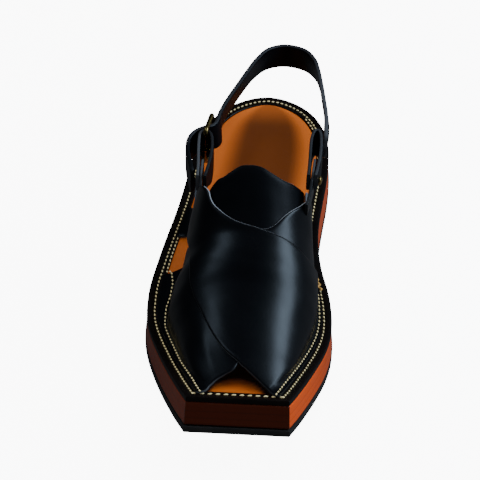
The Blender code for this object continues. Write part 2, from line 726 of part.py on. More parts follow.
def build_strap(collection, black_leather):
    path = plan_path(strap_rows, 78, lambda p: p["height"] * strap_width, lambda p: p["lean"])
    strap = strip_solid("back_strap", path, strap_width, strap_thickness, black_leather, collection)
    hole = wire_object("prong_hole", prong_path()[-3:-1], prong_radius + 2 * seat_gap, False,
                       black_leather, collection)
    apply_boolean(strap, hole, "DIFFERENCE")
    for name, rows, middle in (
        ("lateral_loop", lateral_loop_rows, lateral_loop_height),
        ("medial_loop", medial_loop_rows, medial_loop_height),
    ):
        path = plan_path(rows, 30, lambda p: middle * strap_width, lambda p: 0.0)
        loop = strip_solid(name, path, loop_width, loop_wall, black_leather, collection)
        if name == "lateral_loop":
            reach = buckle_wire_radius + 2 * prong_radius + 2 * seat_gap + loop_wall
            hinge = plan_point(hinge_bar, middle * strap_width)
            slot = vertical_cutter("prong_slot", hinge, reach, 2 * prong_radius + 0.0012, collection)
            apply_boolean(loop, slot, "DIFFERENCE")


def build_buckle(collection, brass):
    middle = lateral_loop_height * strap_width
    hinge = plan_point(hinge_bar, middle)
    rest = plan_point(rest_bar, middle)
    run = (rest - hinge).normalized()
    half = loop_width / 2 + buckle_wire_radius + buckle_clearance
    corner = 0.0030
    frame = []
    for centre, outward, rising in ((rest, run, True), (rest, run, False), (hinge, -run, False), (hinge, -run, True)):
        steps = range(5) if (centre == rest) == rising else range(4, -1, -1)
        up = 1 if rising else -1
        for k in steps:
            angle = k / 4 * pi / 2
            level = half - corner * (1 - cos(angle))
            reach = corner * (sin(angle) - 1)
            frame.append(centre + outward * reach + Vector((0, 0, up * level)))
    wire_object("buckle_frame", frame, buckle_wire_radius, True, brass, collection)
    wire_object("buckle_prong", prong_path(), prong_radius, False, brass, collection)


def build_rivet(collection, brass):
    """Dome rivet on the outer leaf of the medial loop."""
    points = smooth_rows(medial_loop_rows, ("along", "across"), 30)
    place = plan_point(points[28], medial_loop_height * strap_width)
    ahead = plan_point(points[29], medial_loop_height * strap_width)
    direction = (place - ahead).normalized()
    outward = Vector((direction.y, -direction.x, 0)).normalized()
    rings = []
    base = place + outward * (loop_wall / 2 + seat_gap)
    across = outward.cross(Vector((0, 0, 1)))
    for share, rise in ((1.0, 0.0), (1.0, 0.15), (0.85, 0.42), (0.50, 0.62)):
        ring = []
        for k in range(16):
            angle = 2 * pi * k / 16
            around = across * cos(angle) + Vector((0, 0, 1)) * sin(angle)
            ring.append(base + around * (rivet_radius * share) + outward * (rivet_radius * rise))
        rings.append(ring)
    verts = [v for ring in rings for v in ring]
    faces = bridge(rings)
    faces.append(tuple(range(16)))
    faces.append(tuple(range(48, 64)))
    add_object("rivet", verts, faces, brass, collection)


def centre_on_floor(collection):
    """Moves every piece so that the whole stands centred over the origin."""
    points = [v.co for obj in collection.objects for v in obj.data.vertices]
    middle_x = (min(p.x for p in points) + max(p.x for p in points)) / 2
    middle_y = (min(p.y for p in points) + max(p.y for p in points)) / 2
    shift = Vector((-middle_x, -middle_y, -min(p.z for p in points)))
    for obj in collection.objects:
        obj.data.transform(Matrix.Translation(shift))
    return shift


def build():
    for obj in list(bpy.data.objects):
        bpy.data.objects.remove(obj, do_unlink=True)
    collection = bpy.data.collections.new("peshawari_chappal")
    bpy.context.scene.collection.children.link(collection)
    black_leather = make_material("black_leather", (0.012, 0.012, 0.015), 0.28)
    tan_leather = make_material("tan_leather", (0.42, 0.16, 0.04), 0.45)
    stacked_leather = make_material("stacked_leather", (0.55, 0.17, 0.03), 0.4)
    black_rubber = make_material("black_rubber", (0.02, 0.02, 0.02), 0.6)
    brass = make_material("brass", (0.62, 0.44, 0.16), 0.3, 1.0)
    build_sole(collection, black_rubber, stacked_leather, black_leather, tan_leather)
    build_upper(collection, black_leather)
    build_strap(collection, black_leather)
    build_buckle(collection, brass)
    build_rivet(collection, brass)
    return centre_on_floor(collection)


placed_shift = build()
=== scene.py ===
# Peshawari chappal, right shoe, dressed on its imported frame.
# Metres, +Z up, toe towards -Y, buckle side (lateral) towards -X.

import bpy
import bmesh
import numpy as np
from functools import partial
from math import cos, pi, radians, sin
from mathutils import Matrix, Vector


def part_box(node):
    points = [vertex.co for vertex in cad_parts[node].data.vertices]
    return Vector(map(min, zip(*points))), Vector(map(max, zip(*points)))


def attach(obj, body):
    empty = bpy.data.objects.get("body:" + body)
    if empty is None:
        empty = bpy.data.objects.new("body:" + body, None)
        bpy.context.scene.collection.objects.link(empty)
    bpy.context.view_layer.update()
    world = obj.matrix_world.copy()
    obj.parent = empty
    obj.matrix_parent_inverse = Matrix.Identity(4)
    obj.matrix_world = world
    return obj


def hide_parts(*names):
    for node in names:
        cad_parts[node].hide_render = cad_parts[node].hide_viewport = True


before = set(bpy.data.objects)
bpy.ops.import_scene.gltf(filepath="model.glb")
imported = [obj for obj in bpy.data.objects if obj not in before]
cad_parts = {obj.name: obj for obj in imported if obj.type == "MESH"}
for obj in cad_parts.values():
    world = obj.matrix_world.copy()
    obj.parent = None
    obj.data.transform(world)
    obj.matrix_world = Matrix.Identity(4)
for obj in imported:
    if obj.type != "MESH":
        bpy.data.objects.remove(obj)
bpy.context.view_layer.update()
print("stage: frame loaded")

# Sizes of the shoe, the same as the solids have
soleLength = 0.284
ballWidth = 0.1035
outsoleThickness = 0.0038
midsoleToe = 0.0130
midsoleBall = 0.0148
midsoleHeel = 0.0168
randThickness = 0.0026
randWidth = 0.0074
insoleThickness = 0.0024
toeSpring = 0.0270
archRise = 0.0012
outsoleMargin = 0.0005
midsoleFlare = 0.0006
edgeRound = 0.0007
instepHeight = 0.0740
panelWall = 0.0015
tongueWall = 0.0014
stitchMargin = 0.0064
flangeWidth = 0.0050
strapWidth = 0.0180
strapThickness = 0.0024
loopWall = 0.0018
loopWidth = 0.0196
earWidth = 0.0180
wireRadius = 0.0013
prongRadius = 0.0010
rivetRadius = 0.0026
seatGap = 0.0003
tongueGap = 0.0005
buckleClearance = 0.0008
toeWallTurn = 0.66
wallTurn = 0.93
drawTurn = 0.55
flangeTurn = 1.10
springEnd = 0.305
springPower = 1.5
archStart = 0.43
archEnd = 0.64
leanStart = 0.15
leanEnd = 0.36

# Sole outline: station, lateral reach, medial reach
outlineRows = [
    (0.000, 0.303, 0.219), (0.045, 0.352, 0.262), (0.095, 0.402, 0.306), (0.145, 0.450, 0.348),
    (0.200, 0.498, 0.390), (0.255, 0.540, 0.419), (0.305, 0.567, 0.430), (0.355, 0.574, 0.424),
    (0.405, 0.568, 0.404), (0.465, 0.543, 0.366), (0.525, 0.513, 0.344), (0.590, 0.481, 0.343),
    (0.655, 0.453, 0.359), (0.720, 0.430, 0.378), (0.780, 0.411, 0.388), (0.835, 0.388, 0.386),
    (0.885, 0.349, 0.362), (0.925, 0.297, 0.318), (0.957, 0.229, 0.256), (0.980, 0.148, 0.179),
    (0.995, 0.060, 0.092), (1.000, -0.016, 0.016),
]

# Sections of the last: station, ridge place, height, lateral reach, medial reach, lateral and medial roundness
sectionRows = [
    (0.000, -0.046, 0.020, 0.146, 0.155, 1.3, 1.3),
    (0.030, -0.046, 0.065, 0.180, 0.183, 1.5, 1.5),
    (0.060, -0.046, 0.118, 0.207, 0.208, 1.7, 1.7),
    (0.095, -0.046, 0.185, 0.250, 0.240, 1.9, 1.9),
    (0.140, -0.044, 0.298, 0.290, 0.275, 2.1, 2.0),
    (0.185, -0.040, 0.403, 0.328, 0.303, 2.1, 2.1),
    (0.230, -0.035, 0.490, 0.368, 0.325, 2.2, 2.2),
    (0.275, -0.028, 0.572, 0.398, 0.337, 2.2, 2.2),
    (0.320, -0.020, 0.640, 0.398, 0.335, 2.2, 2.3),
    (0.360, -0.014, 0.695, 0.365, 0.325, 2.3, 2.3),
    (0.395, -0.020, 0.785, 0.335, 0.330, 2.6, 2.3),
    (0.430, -0.036, 0.905, 0.298, 0.352, 2.9, 2.3),
    (0.465, -0.048, 1.020, 0.268, 0.368, 3.0, 2.3),
    (0.520, -0.052, 1.130, 0.272, 0.375, 3.0, 2.4),
]

# Panel edges: front station, front turn, back station, back turn
overRows = [
    (0.010, 1.100, 0.410, 1.100), (0.016, 0.930, 0.390, 0.950), (0.022, 0.740, 0.376, 0.790),
    (0.030, 0.550, 0.361, 0.620), (0.042, 0.340, 0.359, 0.450), (0.055, 0.140, 0.363, 0.280),
    (0.068, -0.030, 0.367, 0.110), (0.086, -0.170, 0.374, 0.000), (0.118, -0.290, 0.383, -0.100),
    (0.158, -0.380, 0.394, -0.180), (0.212, -0.440, 0.405, -0.240), (0.270, -0.465, 0.416, -0.298),
    (0.325, -0.500, 0.427, -0.335), (0.370, -0.590, 0.438, -0.360), (0.410, -0.730, 0.449, -0.420),
    (0.440, -0.830, 0.458, -0.480), (0.462, -0.850, 0.464, -0.530),
]
underRows = [
    (0.012, -1.100, 0.424, -1.100), (0.013, -0.980, 0.440, -1.020), (0.018, -0.800, 0.428, -0.900),
    (0.028, -0.600, 0.402, -0.760), (0.038, -0.430, 0.385, -0.620), (0.046, -0.260, 0.375, -0.450),
    (0.057, -0.080, 0.370, -0.270), (0.088, 0.100, 0.368, -0.110), (0.130, 0.260, 0.370, 0.020),
    (0.190, 0.420, 0.374, 0.120), (0.260, 0.590, 0.386, 0.200), (0.325, 0.720, 0.402, 0.275),
    (0.375, 0.790, 0.419, 0.363), (0.410, 0.815, 0.436, 0.450), (0.440, 0.830, 0.453, 0.520),
    (0.462, 0.845, 0.472, 0.590),
]
tongueRows = [
    (0.330, -0.470, 0.446, -0.455), (0.318, -0.330, 0.452, -0.312), (0.308, -0.210, 0.452, -0.215),
    (0.302, -0.110, 0.457, -0.120), (0.300, -0.020, 0.464, -0.025), (0.302, 0.080, 0.464, 0.075),
    (0.306, 0.180, 0.459, 0.170), (0.312, 0.290, 0.457, 0.280), (0.320, 0.390, 0.463, 0.390),
    (0.330, 0.500, 0.474, 0.535),
]
lateralLegRows = [
    (0.532, -1.100, 0.626, -1.100), (0.522, -1.010, 0.606, -1.010), (0.506, -0.930, 0.588, -0.930),
    (0.482, -0.870, 0.570, -0.870), (0.450, -0.820, 0.556, -0.825), (0.425, -0.760, 0.548, -0.800),
]
medialLegRows = [
    (0.560, 1.100, 0.645, 1.100), (0.544, 1.010, 0.622, 1.010), (0.522, 0.930, 0.600, 0.930),
    (0.492, 0.870, 0.578, 0.870), (0.458, 0.820, 0.560, 0.825), (0.432, 0.750, 0.548, 0.770),
]

# Strap and loops in plan: along the sole, across it, then for the strap middle height and lean
strapRows = [
    (0.598, 0.352, 4.48, 0.00), (0.640, 0.354, 4.44, -0.02), (0.675, 0.357, 4.39, -0.08),
    (0.712, 0.353, 4.32, -0.14), (0.755, 0.342, 4.22, -0.17), (0.803, 0.331, 4.10, -0.18),
    (0.852, 0.316, 3.96, -0.18), (0.903, 0.287, 3.82, -0.16), (0.945, 0.222, 3.68, -0.13),
    (0.964, 0.106, 3.60, -0.11), (0.948, 0.000, 3.62, -0.15), (0.907, -0.068, 3.70, -0.20),
    (0.855, -0.120, 3.80, -0.22), (0.803, -0.163, 3.92, -0.22), (0.750, -0.204, 4.06, -0.20),
    (0.708, -0.228, 4.16, -0.13), (0.678, -0.237, 4.22, -0.02), (0.657, -0.237, 4.25, 0.08),
    (0.642, -0.250, 4.26, 0.08), (0.633, -0.279, 4.27, 0.00), (0.627, -0.316, 4.28, 0.00),
    (0.617, -0.354, 4.28, 0.00), (0.600, -0.384, 4.28, 0.00), (0.577, -0.396, 4.28, 0.00),
    (0.550, -0.389, 4.27, 0.00), (0.521, -0.371, 4.26, 0.00), (0.492, -0.353, 4.25, 0.00),
]
lateralEarRows = [(0.425, -0.300), (0.455, -0.306), (0.490, -0.307), (0.528, -0.306)]
medialEarRows = [(0.432, 0.262), (0.455, 0.276), (0.490, 0.290), (0.528, 0.298)]
lateralLoopRows = [
    (0.477, -0.287), (0.500, -0.277), (0.528, -0.267), (0.560, -0.262), (0.590, -0.265), (0.609, -0.278),
    (0.616, -0.300), (0.615, -0.320), (0.604, -0.334), (0.580, -0.336), (0.545, -0.332), (0.510, -0.327),
    (0.477, -0.325),
]
medialLoopRows = [
    (0.477, 0.265), (0.510, 0.270), (0.545, 0.272), (0.575, 0.274), (0.598, 0.280), (0.613, 0.294),
    (0.614, 0.314), (0.600, 0.326), (0.570, 0.329), (0.540, 0.326), (0.510, 0.318), (0.477, 0.305),
]
lateralLoopHeight = 4.25
medialLoopHeight = 4.48
hingeBar = (0.602, -0.304)
restBar = (0.659, -0.276)


def easeStep(value):
    value = np.clip(value, 0.0, 1.0)
    return value * value * (3 - 2 * value)


# Monotone curve through one column of a table
def columnAt(rows, column, stations):
    xs = np.array([row[0] for row in rows])
    ys = np.array([row[column] for row in rows])
    gaps = np.diff(xs)
    rises = np.diff(ys) / gaps
    slopes = np.zeros(len(xs))
    slopes[0] = rises[0]
    slopes[-1] = rises[-1]
    for i in range(1, len(xs) - 1):
        if rises[i - 1] * rises[i] > 0:
            slopes[i] = 2 * rises[i - 1] * rises[i] / (rises[i - 1] + rises[i])
    s = np.clip(stations, xs[0], xs[-1])
    i = np.clip(np.searchsorted(xs, s, side="right") - 1, 0, len(xs) - 2)
    t = (s - xs[i]) / gaps[i]
    start = (1 + 2 * t) * (1 - t) ** 2 * ys[i] + t * (1 - t) ** 2 * gaps[i] * slopes[i]
    end = t * t * (3 - 2 * t) * ys[i + 1] + t * t * (t - 1) * gaps[i] * slopes[i + 1]
    return start + end


def soleLift(s):
    spring = toeSpring * np.clip(1 - s / springEnd, 0, None) ** springPower
    inArch = (s > archStart) & (s < archEnd)
    return spring + np.where(inArch, archRise * np.sin(pi * (s - archStart) / (archEnd - archStart)) ** 2, 0.0)


def soleTilt(s):
    left = np.clip(1 - np.maximum(s, 0.0) / springEnd, 0, None)
    return np.arctan(toeSpring * springPower / (springEnd * soleLength) * left ** (springPower - 1))


def stackLean(s):
    span = leanEnd - leanStart
    t = np.clip((s - leanStart) / span, 0.0, 1.0)
    first = soleTilt(leanStart)
    slope = (first - soleTilt(leanStart - 0.001)) / 0.001
    return np.where(s <= leanStart, soleTilt(s), (1 - t) ** 2 * (first * (1 + 2 * t) + slope * span * t))


def aboveSole(x, y, height):
    x, y, height = np.broadcast_arrays(x, y, height)
    s = y / soleLength
    lean = stackLean(s)
    return np.stack([x, y + height * np.sin(lean), soleLift(s) + height * np.cos(lean)], axis=-1)


def midsoleThickness(s):
    front = midsoleToe + (midsoleBall - midsoleToe) * s / springEnd
    rear = midsoleBall + (midsoleHeel - midsoleBall) * easeStep((s - springEnd) / (0.80 - springEnd))
    return np.where(s < springEnd, front, rear)


def deckHeight(s):
    return outsoleThickness + midsoleThickness(s) + randThickness + 2 * seatGap


# Points of the last's surface; turn runs from -1 (lateral foot) over 0 (ridge) to 1 (medial foot)
def sectionPoints(s, turns):
    s, turns = np.broadcast_arrays(np.asarray(s, float), np.asarray(turns, float))
    lateral = turns < 0
    side = np.where(lateral, -1.0, 1.0)

    def pick(rows, first, second):
        return np.where(lateral, columnAt(rows, first, s), columnAt(rows, second, s))

    power = 2 / pick(sectionRows, 5, 6)
    reach = pick(sectionRows, 3, 4) * ballWidth
    ridge = columnAt(sectionRows, 1, s) * ballWidth
    height = columnAt(sectionRows, 2, s) * instepHeight
    edge = pick(outlineRows, 1, 2) * ballWidth
    bend = toeWallTurn + (wallTurn - toeWallTurn) * easeStep(s / 0.24)
    size = np.abs(turns)
    low = np.minimum(size, bend)
    angle = (1 - low) * pi / 2
    tip = edge - stitchMargin - side * ridge
    seam = np.minimum(reach, tip - flangeWidth)
    drawn = easeStep((low - drawTurn) / (wallTurn - drawTurn))
    out = (reach - (reach - seam) * drawn) * np.cos(angle) ** power
    rise = height * np.sin(angle) ** power
    t = np.clip((flangeTurn - np.minimum(size, flangeTurn)) / (flangeTurn - bend), 0.0, 1.0)
    flat = size > bend
    out = np.where(flat, (1 - t) ** 2 * tip + 2 * t * (1 - t) * seam + t * t * out, out)
    rise = np.where(flat, t * t * rise, rise)
    return aboveSole(ridge + side * out, s * soleLength, deckHeight(s) + seatGap + rise)


def surfacePoints(s, turns, lifts):
    near = np.clip(turns, 0.01 - flangeTurn, flangeTurn - 0.01)
    along = sectionPoints(s + 0.004, near) - sectionPoints(np.maximum(s - 0.004, 0.0), near)
    around = sectionPoints(s, near + 0.01) - sectionPoints(s, near - 0.01)
    normal = np.cross(around, along)
    normal /= np.linalg.norm(normal, axis=-1, keepdims=True)
    return sectionPoints(s, turns) + normal * lifts[..., None]


def layerShare(s, turns):
    return easeStep((flangeTurn - np.abs(turns)) / 0.35) * easeStep(s / 0.10)


# Catmull-Rom curve through the rows; crowd draws the steps together at the first row
def smoothRows(rows, count, crowd=0.0):
    rows = np.array(rows, float)
    last = len(rows) - 1
    share = np.arange(count + 1) / count
    place = share * (1 - crowd + crowd * share) * last
    i = np.minimum(place.astype(int), last - 1)
    t = (place - i)[:, None]
    p0, p1, p2, p3 = rows[np.maximum(i - 1, 0)], rows[i], rows[i + 1], rows[np.minimum(i + 2, last)]
    bend = 2 * p0 - 5 * p1 + 4 * p2 - p3
    twist = 3 * p1 - p0 - 3 * p2 + p3
    return 0.5 * (2 * p1 + (p2 - p0) * t + bend * t * t + twist * t ** 3)


def unitRows(rows):
    return rows / np.linalg.norm(rows, axis=1, keepdims=True)


def tangents(points):
    return unitRows(np.vstack([points[1:2] - points[:1], points[2:] - points[:-2], points[-1:] - points[-2:-1]]))


# Both sides of the sole's outline in plan, offset outward, from toe corner to heel
def outlineSides(offset, perRow=8):
    rows = smoothRows(outlineRows, perRow * (len(outlineRows) - 1))
    sides = []
    for side, column in ((-1, 1), (1, 2)):
        line = np.stack([side * rows[:, column] * ballWidth, rows[:, 0] * soleLength], axis=-1)
        direction = tangents(line)
        moved = line + np.stack([direction[:, 1], -direction[:, 0]], axis=-1) * side * offset
        lean = abs(direction[0, 0])
        moved[0] = line[0] + np.array([side * offset * (1 - lean) / np.sqrt(1 - lean * lean), -offset])
        moved[-1] = line[-1] + np.array([0.0, offset])
        # An inward offset would fold back at the toe corner, so points before the corner go on a straight line
        first = int(np.argmax(moved[1:, 1] > moved[0, 1])) + 1
        moved[:first + 1] = moved[0] + (moved[first] - moved[0]) * np.linspace(0, 1, first + 1)[:, None]
        sides.append(moved)
    return sides


def outlineLoop(offset):
    lateral, medial = outlineSides(offset)
    return np.vstack([lateral, medial[-2::-1]])


def soleRing(offset, height):
    plan = outlineLoop(offset)
    s = np.clip(plan[:, 1] / soleLength, 0.0, 1.0)
    return aboveSole(plan[:, 0], plan[:, 1], height(s))


# The solids stand centred over the origin by the outsole's box
def centreShift():
    flat = outsoleMargin + midsoleFlare
    levels = (edgeRound, outsoleThickness - edgeRound)
    points = np.vstack([soleRing(flat, lambda s, level=level: s * 0 + level) for level in levels])
    low, high = points.min(axis=0), points.max(axis=0)
    cadLow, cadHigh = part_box("outsole")
    return Vector((
        (cadLow.x + cadHigh.x - low[0] - high[0]) / 2,
        (cadLow.y + cadHigh.y - low[1] - high[1]) / 2,
        0.0,
    ))


placedShift = centreShift()
print("shift", [round(v, 5) for v in placedShift])


# Shader groups shared by the materials
def shaderGroup(name, inputs, outputs):
    group = bpy.data.node_groups.new(name, "ShaderNodeTree")
    for label, kind, value in inputs:
        socket = group.interface.new_socket(name=label, in_out="INPUT", socket_type=kind)
        if value is not None:
            socket.default_value = value
    for label, kind in outputs:
        group.interface.new_socket(name=label, in_out="OUTPUT", socket_type=kind)
    return group, group.nodes.new("NodeGroupInput"), group.nodes.new("NodeGroupOutput")


def mathNode(tree, operation, first, second):
    node = tree.nodes.new("ShaderNodeMath")
    node.operation = operation
    for socket, value in zip(node.inputs, (first, second)):
        if isinstance(value, (int, float)):
            socket.default_value = value
        else:
            tree.links.new(value, socket)
    return node.outputs[0]


def noiseNode(tree, vector, scale, detail=3.0):
    node = tree.nodes.new("ShaderNodeTexNoise")
    node.inputs["Detail"].default_value = detail
    tree.links.new(vector, node.inputs["Vector"])
    if isinstance(scale, (int, float)):
        node.inputs["Scale"].default_value = scale
    else:
        tree.links.new(scale, node.inputs["Scale"])
    return node.outputs["Fac"]


# A colour mix; a colour given as a tuple is set, a socket is linked
def mixNode(tree, share, first, second):
    node = tree.nodes.new("ShaderNodeMix")
    node.data_type = "RGBA"
    for index, value in ((0, share), (6, first), (7, second)):
        if isinstance(value, tuple):
            node.inputs[index].default_value = (*value, 1.0)
        else:
            tree.links.new(value, node.inputs[index])
    return node.outputs[2]


def makeGrainGroup():
    group, entry, leave = shaderGroup("leather_grain", [
        ("Vector", "NodeSocketVector", None),
        ("Grain Scale", "NodeSocketFloat", 900.0),
        ("Pore Depth", "NodeSocketFloat", 0.00003),
        ("Wave Scale", "NodeSocketFloat", 45.0),
        ("Wave Depth", "NodeSocketFloat", 0.0002),
        ("Base Roughness", "NodeSocketFloat", 0.3),
        ("Roughness Spread", "NodeSocketFloat", 0.12),
    ], [("Height", "NodeSocketFloat"), ("Roughness", "NodeSocketFloat")])
    cells = group.nodes.new("ShaderNodeTexVoronoi")
    group.links.new(entry.outputs["Vector"], cells.inputs["Vector"])
    group.links.new(entry.outputs["Grain Scale"], cells.inputs["Scale"])
    wave = noiseNode(group, entry.outputs["Vector"], entry.outputs["Wave Scale"])
    pores = mathNode(group, "MULTIPLY", cells.outputs["Distance"], entry.outputs["Pore Depth"])
    swell = mathNode(group, "MULTIPLY", wave, entry.outputs["Wave Depth"])
    group.links.new(mathNode(group, "ADD", pores, swell), leave.inputs["Height"])
    cloud = noiseNode(group, entry.outputs["Vector"], 140.0)
    spread = mathNode(group, "MULTIPLY", mathNode(group, "SUBTRACT", cloud, 0.5), entry.outputs["Roughness Spread"])
    group.links.new(mathNode(group, "ADD", entry.outputs["Base Roughness"], spread), leave.inputs["Roughness"])
    return group


def makeWearGroup():
    group, entry, leave = shaderGroup("worn_colour", [
        ("Vector", "NodeSocketVector", None),
        ("Colour", "NodeSocketColor", (0.1, 0.1, 0.1, 1.0)),
        ("Worn Colour", "NodeSocketColor", (0.2, 0.2, 0.2, 1.0)),
        ("Amount", "NodeSocketFloat", 0.3),
        ("Patch Scale", "NodeSocketFloat", 60.0),
    ], [("Colour", "NodeSocketColor")])
    patch = noiseNode(group, entry.outputs["Vector"], entry.outputs["Patch Scale"], 6.0)
    share = mathNode(group, "MULTIPLY", patch, entry.outputs["Amount"])
    mixed = mixNode(group, share, entry.outputs["Colour"], entry.outputs["Worn Colour"])
    group.links.new(mixed, leave.inputs["Colour"])
    return group


grainGroup = makeGrainGroup()
wearGroup = makeWearGroup()


# A material from one dictionary; each accent is a vertex attribute and the colour that it leads to
def makeFinish(name, finish):
    material = bpy.data.materials.new(name)
    material.use_nodes = True
    tree = material.node_tree
    shader = tree.nodes["Principled BSDF"]
    place = tree.nodes.new("ShaderNodeTexCoord").outputs["Object"]
    grain = tree.nodes.new("ShaderNodeGroup")
    grain.node_tree = grainGroup
    tree.links.new(place, grain.inputs["Vector"])
    for label, key in (
        ("Grain Scale", "grainScale"), ("Pore Depth", "poreDepth"), ("Wave Scale", "waveScale"),
        ("Wave Depth", "waveDepth"), ("Base Roughness", "roughness"), ("Roughness Spread", "roughnessSpread"),
    ):
        if key in finish:
            grain.inputs[label].default_value = finish[key]
    wear = tree.nodes.new("ShaderNodeGroup")
    wear.node_tree = wearGroup
    tree.links.new(place, wear.inputs["Vector"])
    wear.inputs["Colour"].default_value = (*finish["colour"], 1.0)
    wear.inputs["Worn Colour"].default_value = (*finish.get("worn", finish["colour"]), 1.0)
    wear.inputs["Amount"].default_value = finish.get("wear", 0.3)
    wear.inputs["Patch Scale"].default_value = finish.get("patchScale", 60.0)
    colour = wear.outputs["Colour"]
    for label, accentColour in finish.get("accents", []):
        attribute = tree.nodes.new("ShaderNodeAttribute")
        attribute.attribute_name = label
        colour = mixNode(tree, attribute.outputs["Fac"], colour, accentColour)
    tree.links.new(colour, shader.inputs["Base Color"])
    tree.links.new(grain.outputs["Roughness"], shader.inputs["Roughness"])
    bump = tree.nodes.new("ShaderNodeBump")
    bump.inputs["Strength"].default_value = finish.get("bump", 1.0)
    bump.inputs["Distance"].default_value = 1.0
    tree.links.new(grain.outputs["Height"], bump.inputs["Height"])
    tree.links.new(bump.outputs["Normal"], shader.inputs["Normal"])
    shader.inputs["Metallic"].default_value = finish.get("metallic", 0.0)
    shader.inputs["Coat Weight"].default_value = finish.get("coat", 0.0)
    shader.inputs["Coat Roughness"].default_value = finish.get("coatRoughness", 0.2)
    shader.inputs["Specular IOR Level"].default_value = finish.get("specular", 0.5)
    return material


polishedLook = {
    "colour": (0.0012, 0.0014, 0.0022), "worn": (0.0035, 0.004, 0.006), "wear": 0.5, "roughness": 0.35,
    "roughnessSpread": 0.08, "poreDepth": 0.000008, "waveScale": 30.0, "waveDepth": 0.00018,
    "coat": 0.08, "coatRoughness": 0.28, "specular": 0.28,
}
blackLeather = makeFinish("polished_black_leather", polishedLook)
tongueFinish = makeFinish("dull_tongue_leather", dict(polishedLook, roughness=0.45, coat=0.0, specular=0.14))
strapLeather = makeFinish("black_strap_leather", {
    "colour": (0.0016, 0.0018, 0.0026), "worn": (0.005, 0.0055, 0.008), "wear": 0.6, "roughness": 0.42,
    "roughnessSpread": 0.12, "poreDepth": 0.000015, "waveScale": 70.0, "waveDepth": 0.00012,
    "specular": 0.06,
})
# Cut edge: the accent mixes in a pale grey-blue, partly the raw edge's own paler colour and partly a painted
# highlight on the edges that face the lights.
cutEdge = makeFinish("cut_edge_pale_and_painted_highlight", {
    "colour": (0.002, 0.0022, 0.003), "worn": (0.006, 0.007, 0.009), "wear": 0.5, "roughness": 0.5,
    "patchScale": 300.0, "accents": [("paleAndHighlight", (0.50, 0.55, 0.62))], "poreDepth": 0.00002, "specular": 0.25,
})
randLeather = makeFinish("black_rand_leather", {
    "colour": (0.0018, 0.0016, 0.0016), "worn": (0.012, 0.005, 0.003), "wear": 0.5, "roughness": 0.45,
    "poreDepth": 0.00003, "grainScale": 1200.0, "waveDepth": 0.0001, "specular": 0.3,
})
# Insole leather: the first accent darkens the middle of the heel seat and paints shade under the upper, the second
# paints the shadow at the toe.
tanLeather = makeFinish("tan_leather_with_painted_shade", {
    "colour": (0.70, 0.150, 0.012), "worn": (0.48, 0.098, 0.009), "wear": 0.5, "patchScale": 35.0,
    "roughness": 0.48, "grainScale": 1500.0, "poreDepth": 0.00002, "waveDepth": 0.00008, "specular": 0.3,
    "accents": [("darkMiddleAndPaintedShade", (0.085, 0.020, 0.002)), ("shade", (0.0015, 0.001, 0.001))],
})
# The layer accent darkens the joints of the stacked layers; the second accent is painted shade on the sides away from
# the key light.
stackedLeather = makeFinish("orange_stacked_leather", {
    "colour": (1.0, 0.110, 0.001), "worn": (0.72, 0.066, 0.001), "wear": 0.5, "patchScale": 28.0,
    "roughness": 0.34, "waveScale": 90.0, "waveDepth": 0.0001, "poreDepth": 0.00001,
    "accents": [("layer", (0.28, 0.034, 0.002)), ("paintedSideShade", (0.013, 0.004, 0.0015))], "coat": 0.12,
    "coatRoughness": 0.2, "specular": 0.3,
})
soleRubber = makeFinish("black_sole_rubber", {
    "colour": (0.006, 0.006, 0.006), "worn": (0.025, 0.023, 0.021), "wear": 0.6, "roughness": 0.55,
    "grainScale": 2200.0, "poreDepth": 0.00004,
})
agedBrass = makeFinish("aged_brass", {
    "colour": (0.60, 0.42, 0.13), "worn": (0.14, 0.085, 0.03), "wear": 0.8, "patchScale": 420.0,
    "roughness": 0.30, "roughnessSpread": 0.3, "metallic": 1.0, "poreDepth": 0.00001, "waveDepth": 0.00002,
})
threadFinish = makeFinish("cream_thread", {
    "colour": (0.92, 0.80, 0.42), "worn": (0.68, 0.50, 0.20), "wear": 0.6, "patchScale": 500.0,
    "roughness": 0.55, "grainScale": 3500.0, "poreDepth": 0.00006,
})
goldThread = makeFinish("gold_thread", {
    "colour": (0.62, 0.36, 0.09), "worn": (0.42, 0.20, 0.05), "wear": 0.6, "roughness": 0.5,
    "grainScale": 3500.0, "poreDepth": 0.00006,
})
print("stage: materials made")


def addObject(name, data):
    made = bpy.data.objects.new(name, data)
    bpy.context.scene.collection.objects.link(made)
    return made


# Merges doubles, turns faces outward, moves the mesh to the row frame and shades it
def finishMesh(mesh, sharp):
    mergeDistance = 0.000002
    shape = bmesh.new()
    shape.from_mesh(mesh)
    bmesh.ops.remove_doubles(shape, verts=shape.verts, dist=mergeDistance)
    bmesh.ops.recalc_face_normals(shape, faces=shape.faces)
    shape.to_mesh(mesh)
    shape.free()
    mesh.transform(Matrix.Translation(placedShift))
    mesh.shade_smooth()
    mesh.set_sharp_from_angle(angle=radians(sharp))


# A mesh object in the row frame from points in the shoe's own coordinates
def meshPiece(name, verts, faces, materials, slots=None, attributes=None, sharp=40.0):
    mesh = bpy.data.meshes.new(name)
    mesh.from_pydata(np.asarray(verts).tolist(), [], faces)
    for material in materials:
        mesh.materials.append(material)
    if slots is not None:
        mesh.polygons.foreach_set("material_index", np.array(slots, dtype=np.int32))
    for label, values in (attributes or {}).items():
        layer = mesh.attributes.new(label, "FLOAT", "POINT")
        layer.data.foreach_set("value", np.asarray(values, dtype=np.float32))
    finishMesh(mesh, sharp)
    return addObject(name, mesh)


def placePiece(piece, slotName, *cadNodes):
    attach(piece, "root")
    if cadNodes:
        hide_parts(*cadNodes)
    return piece


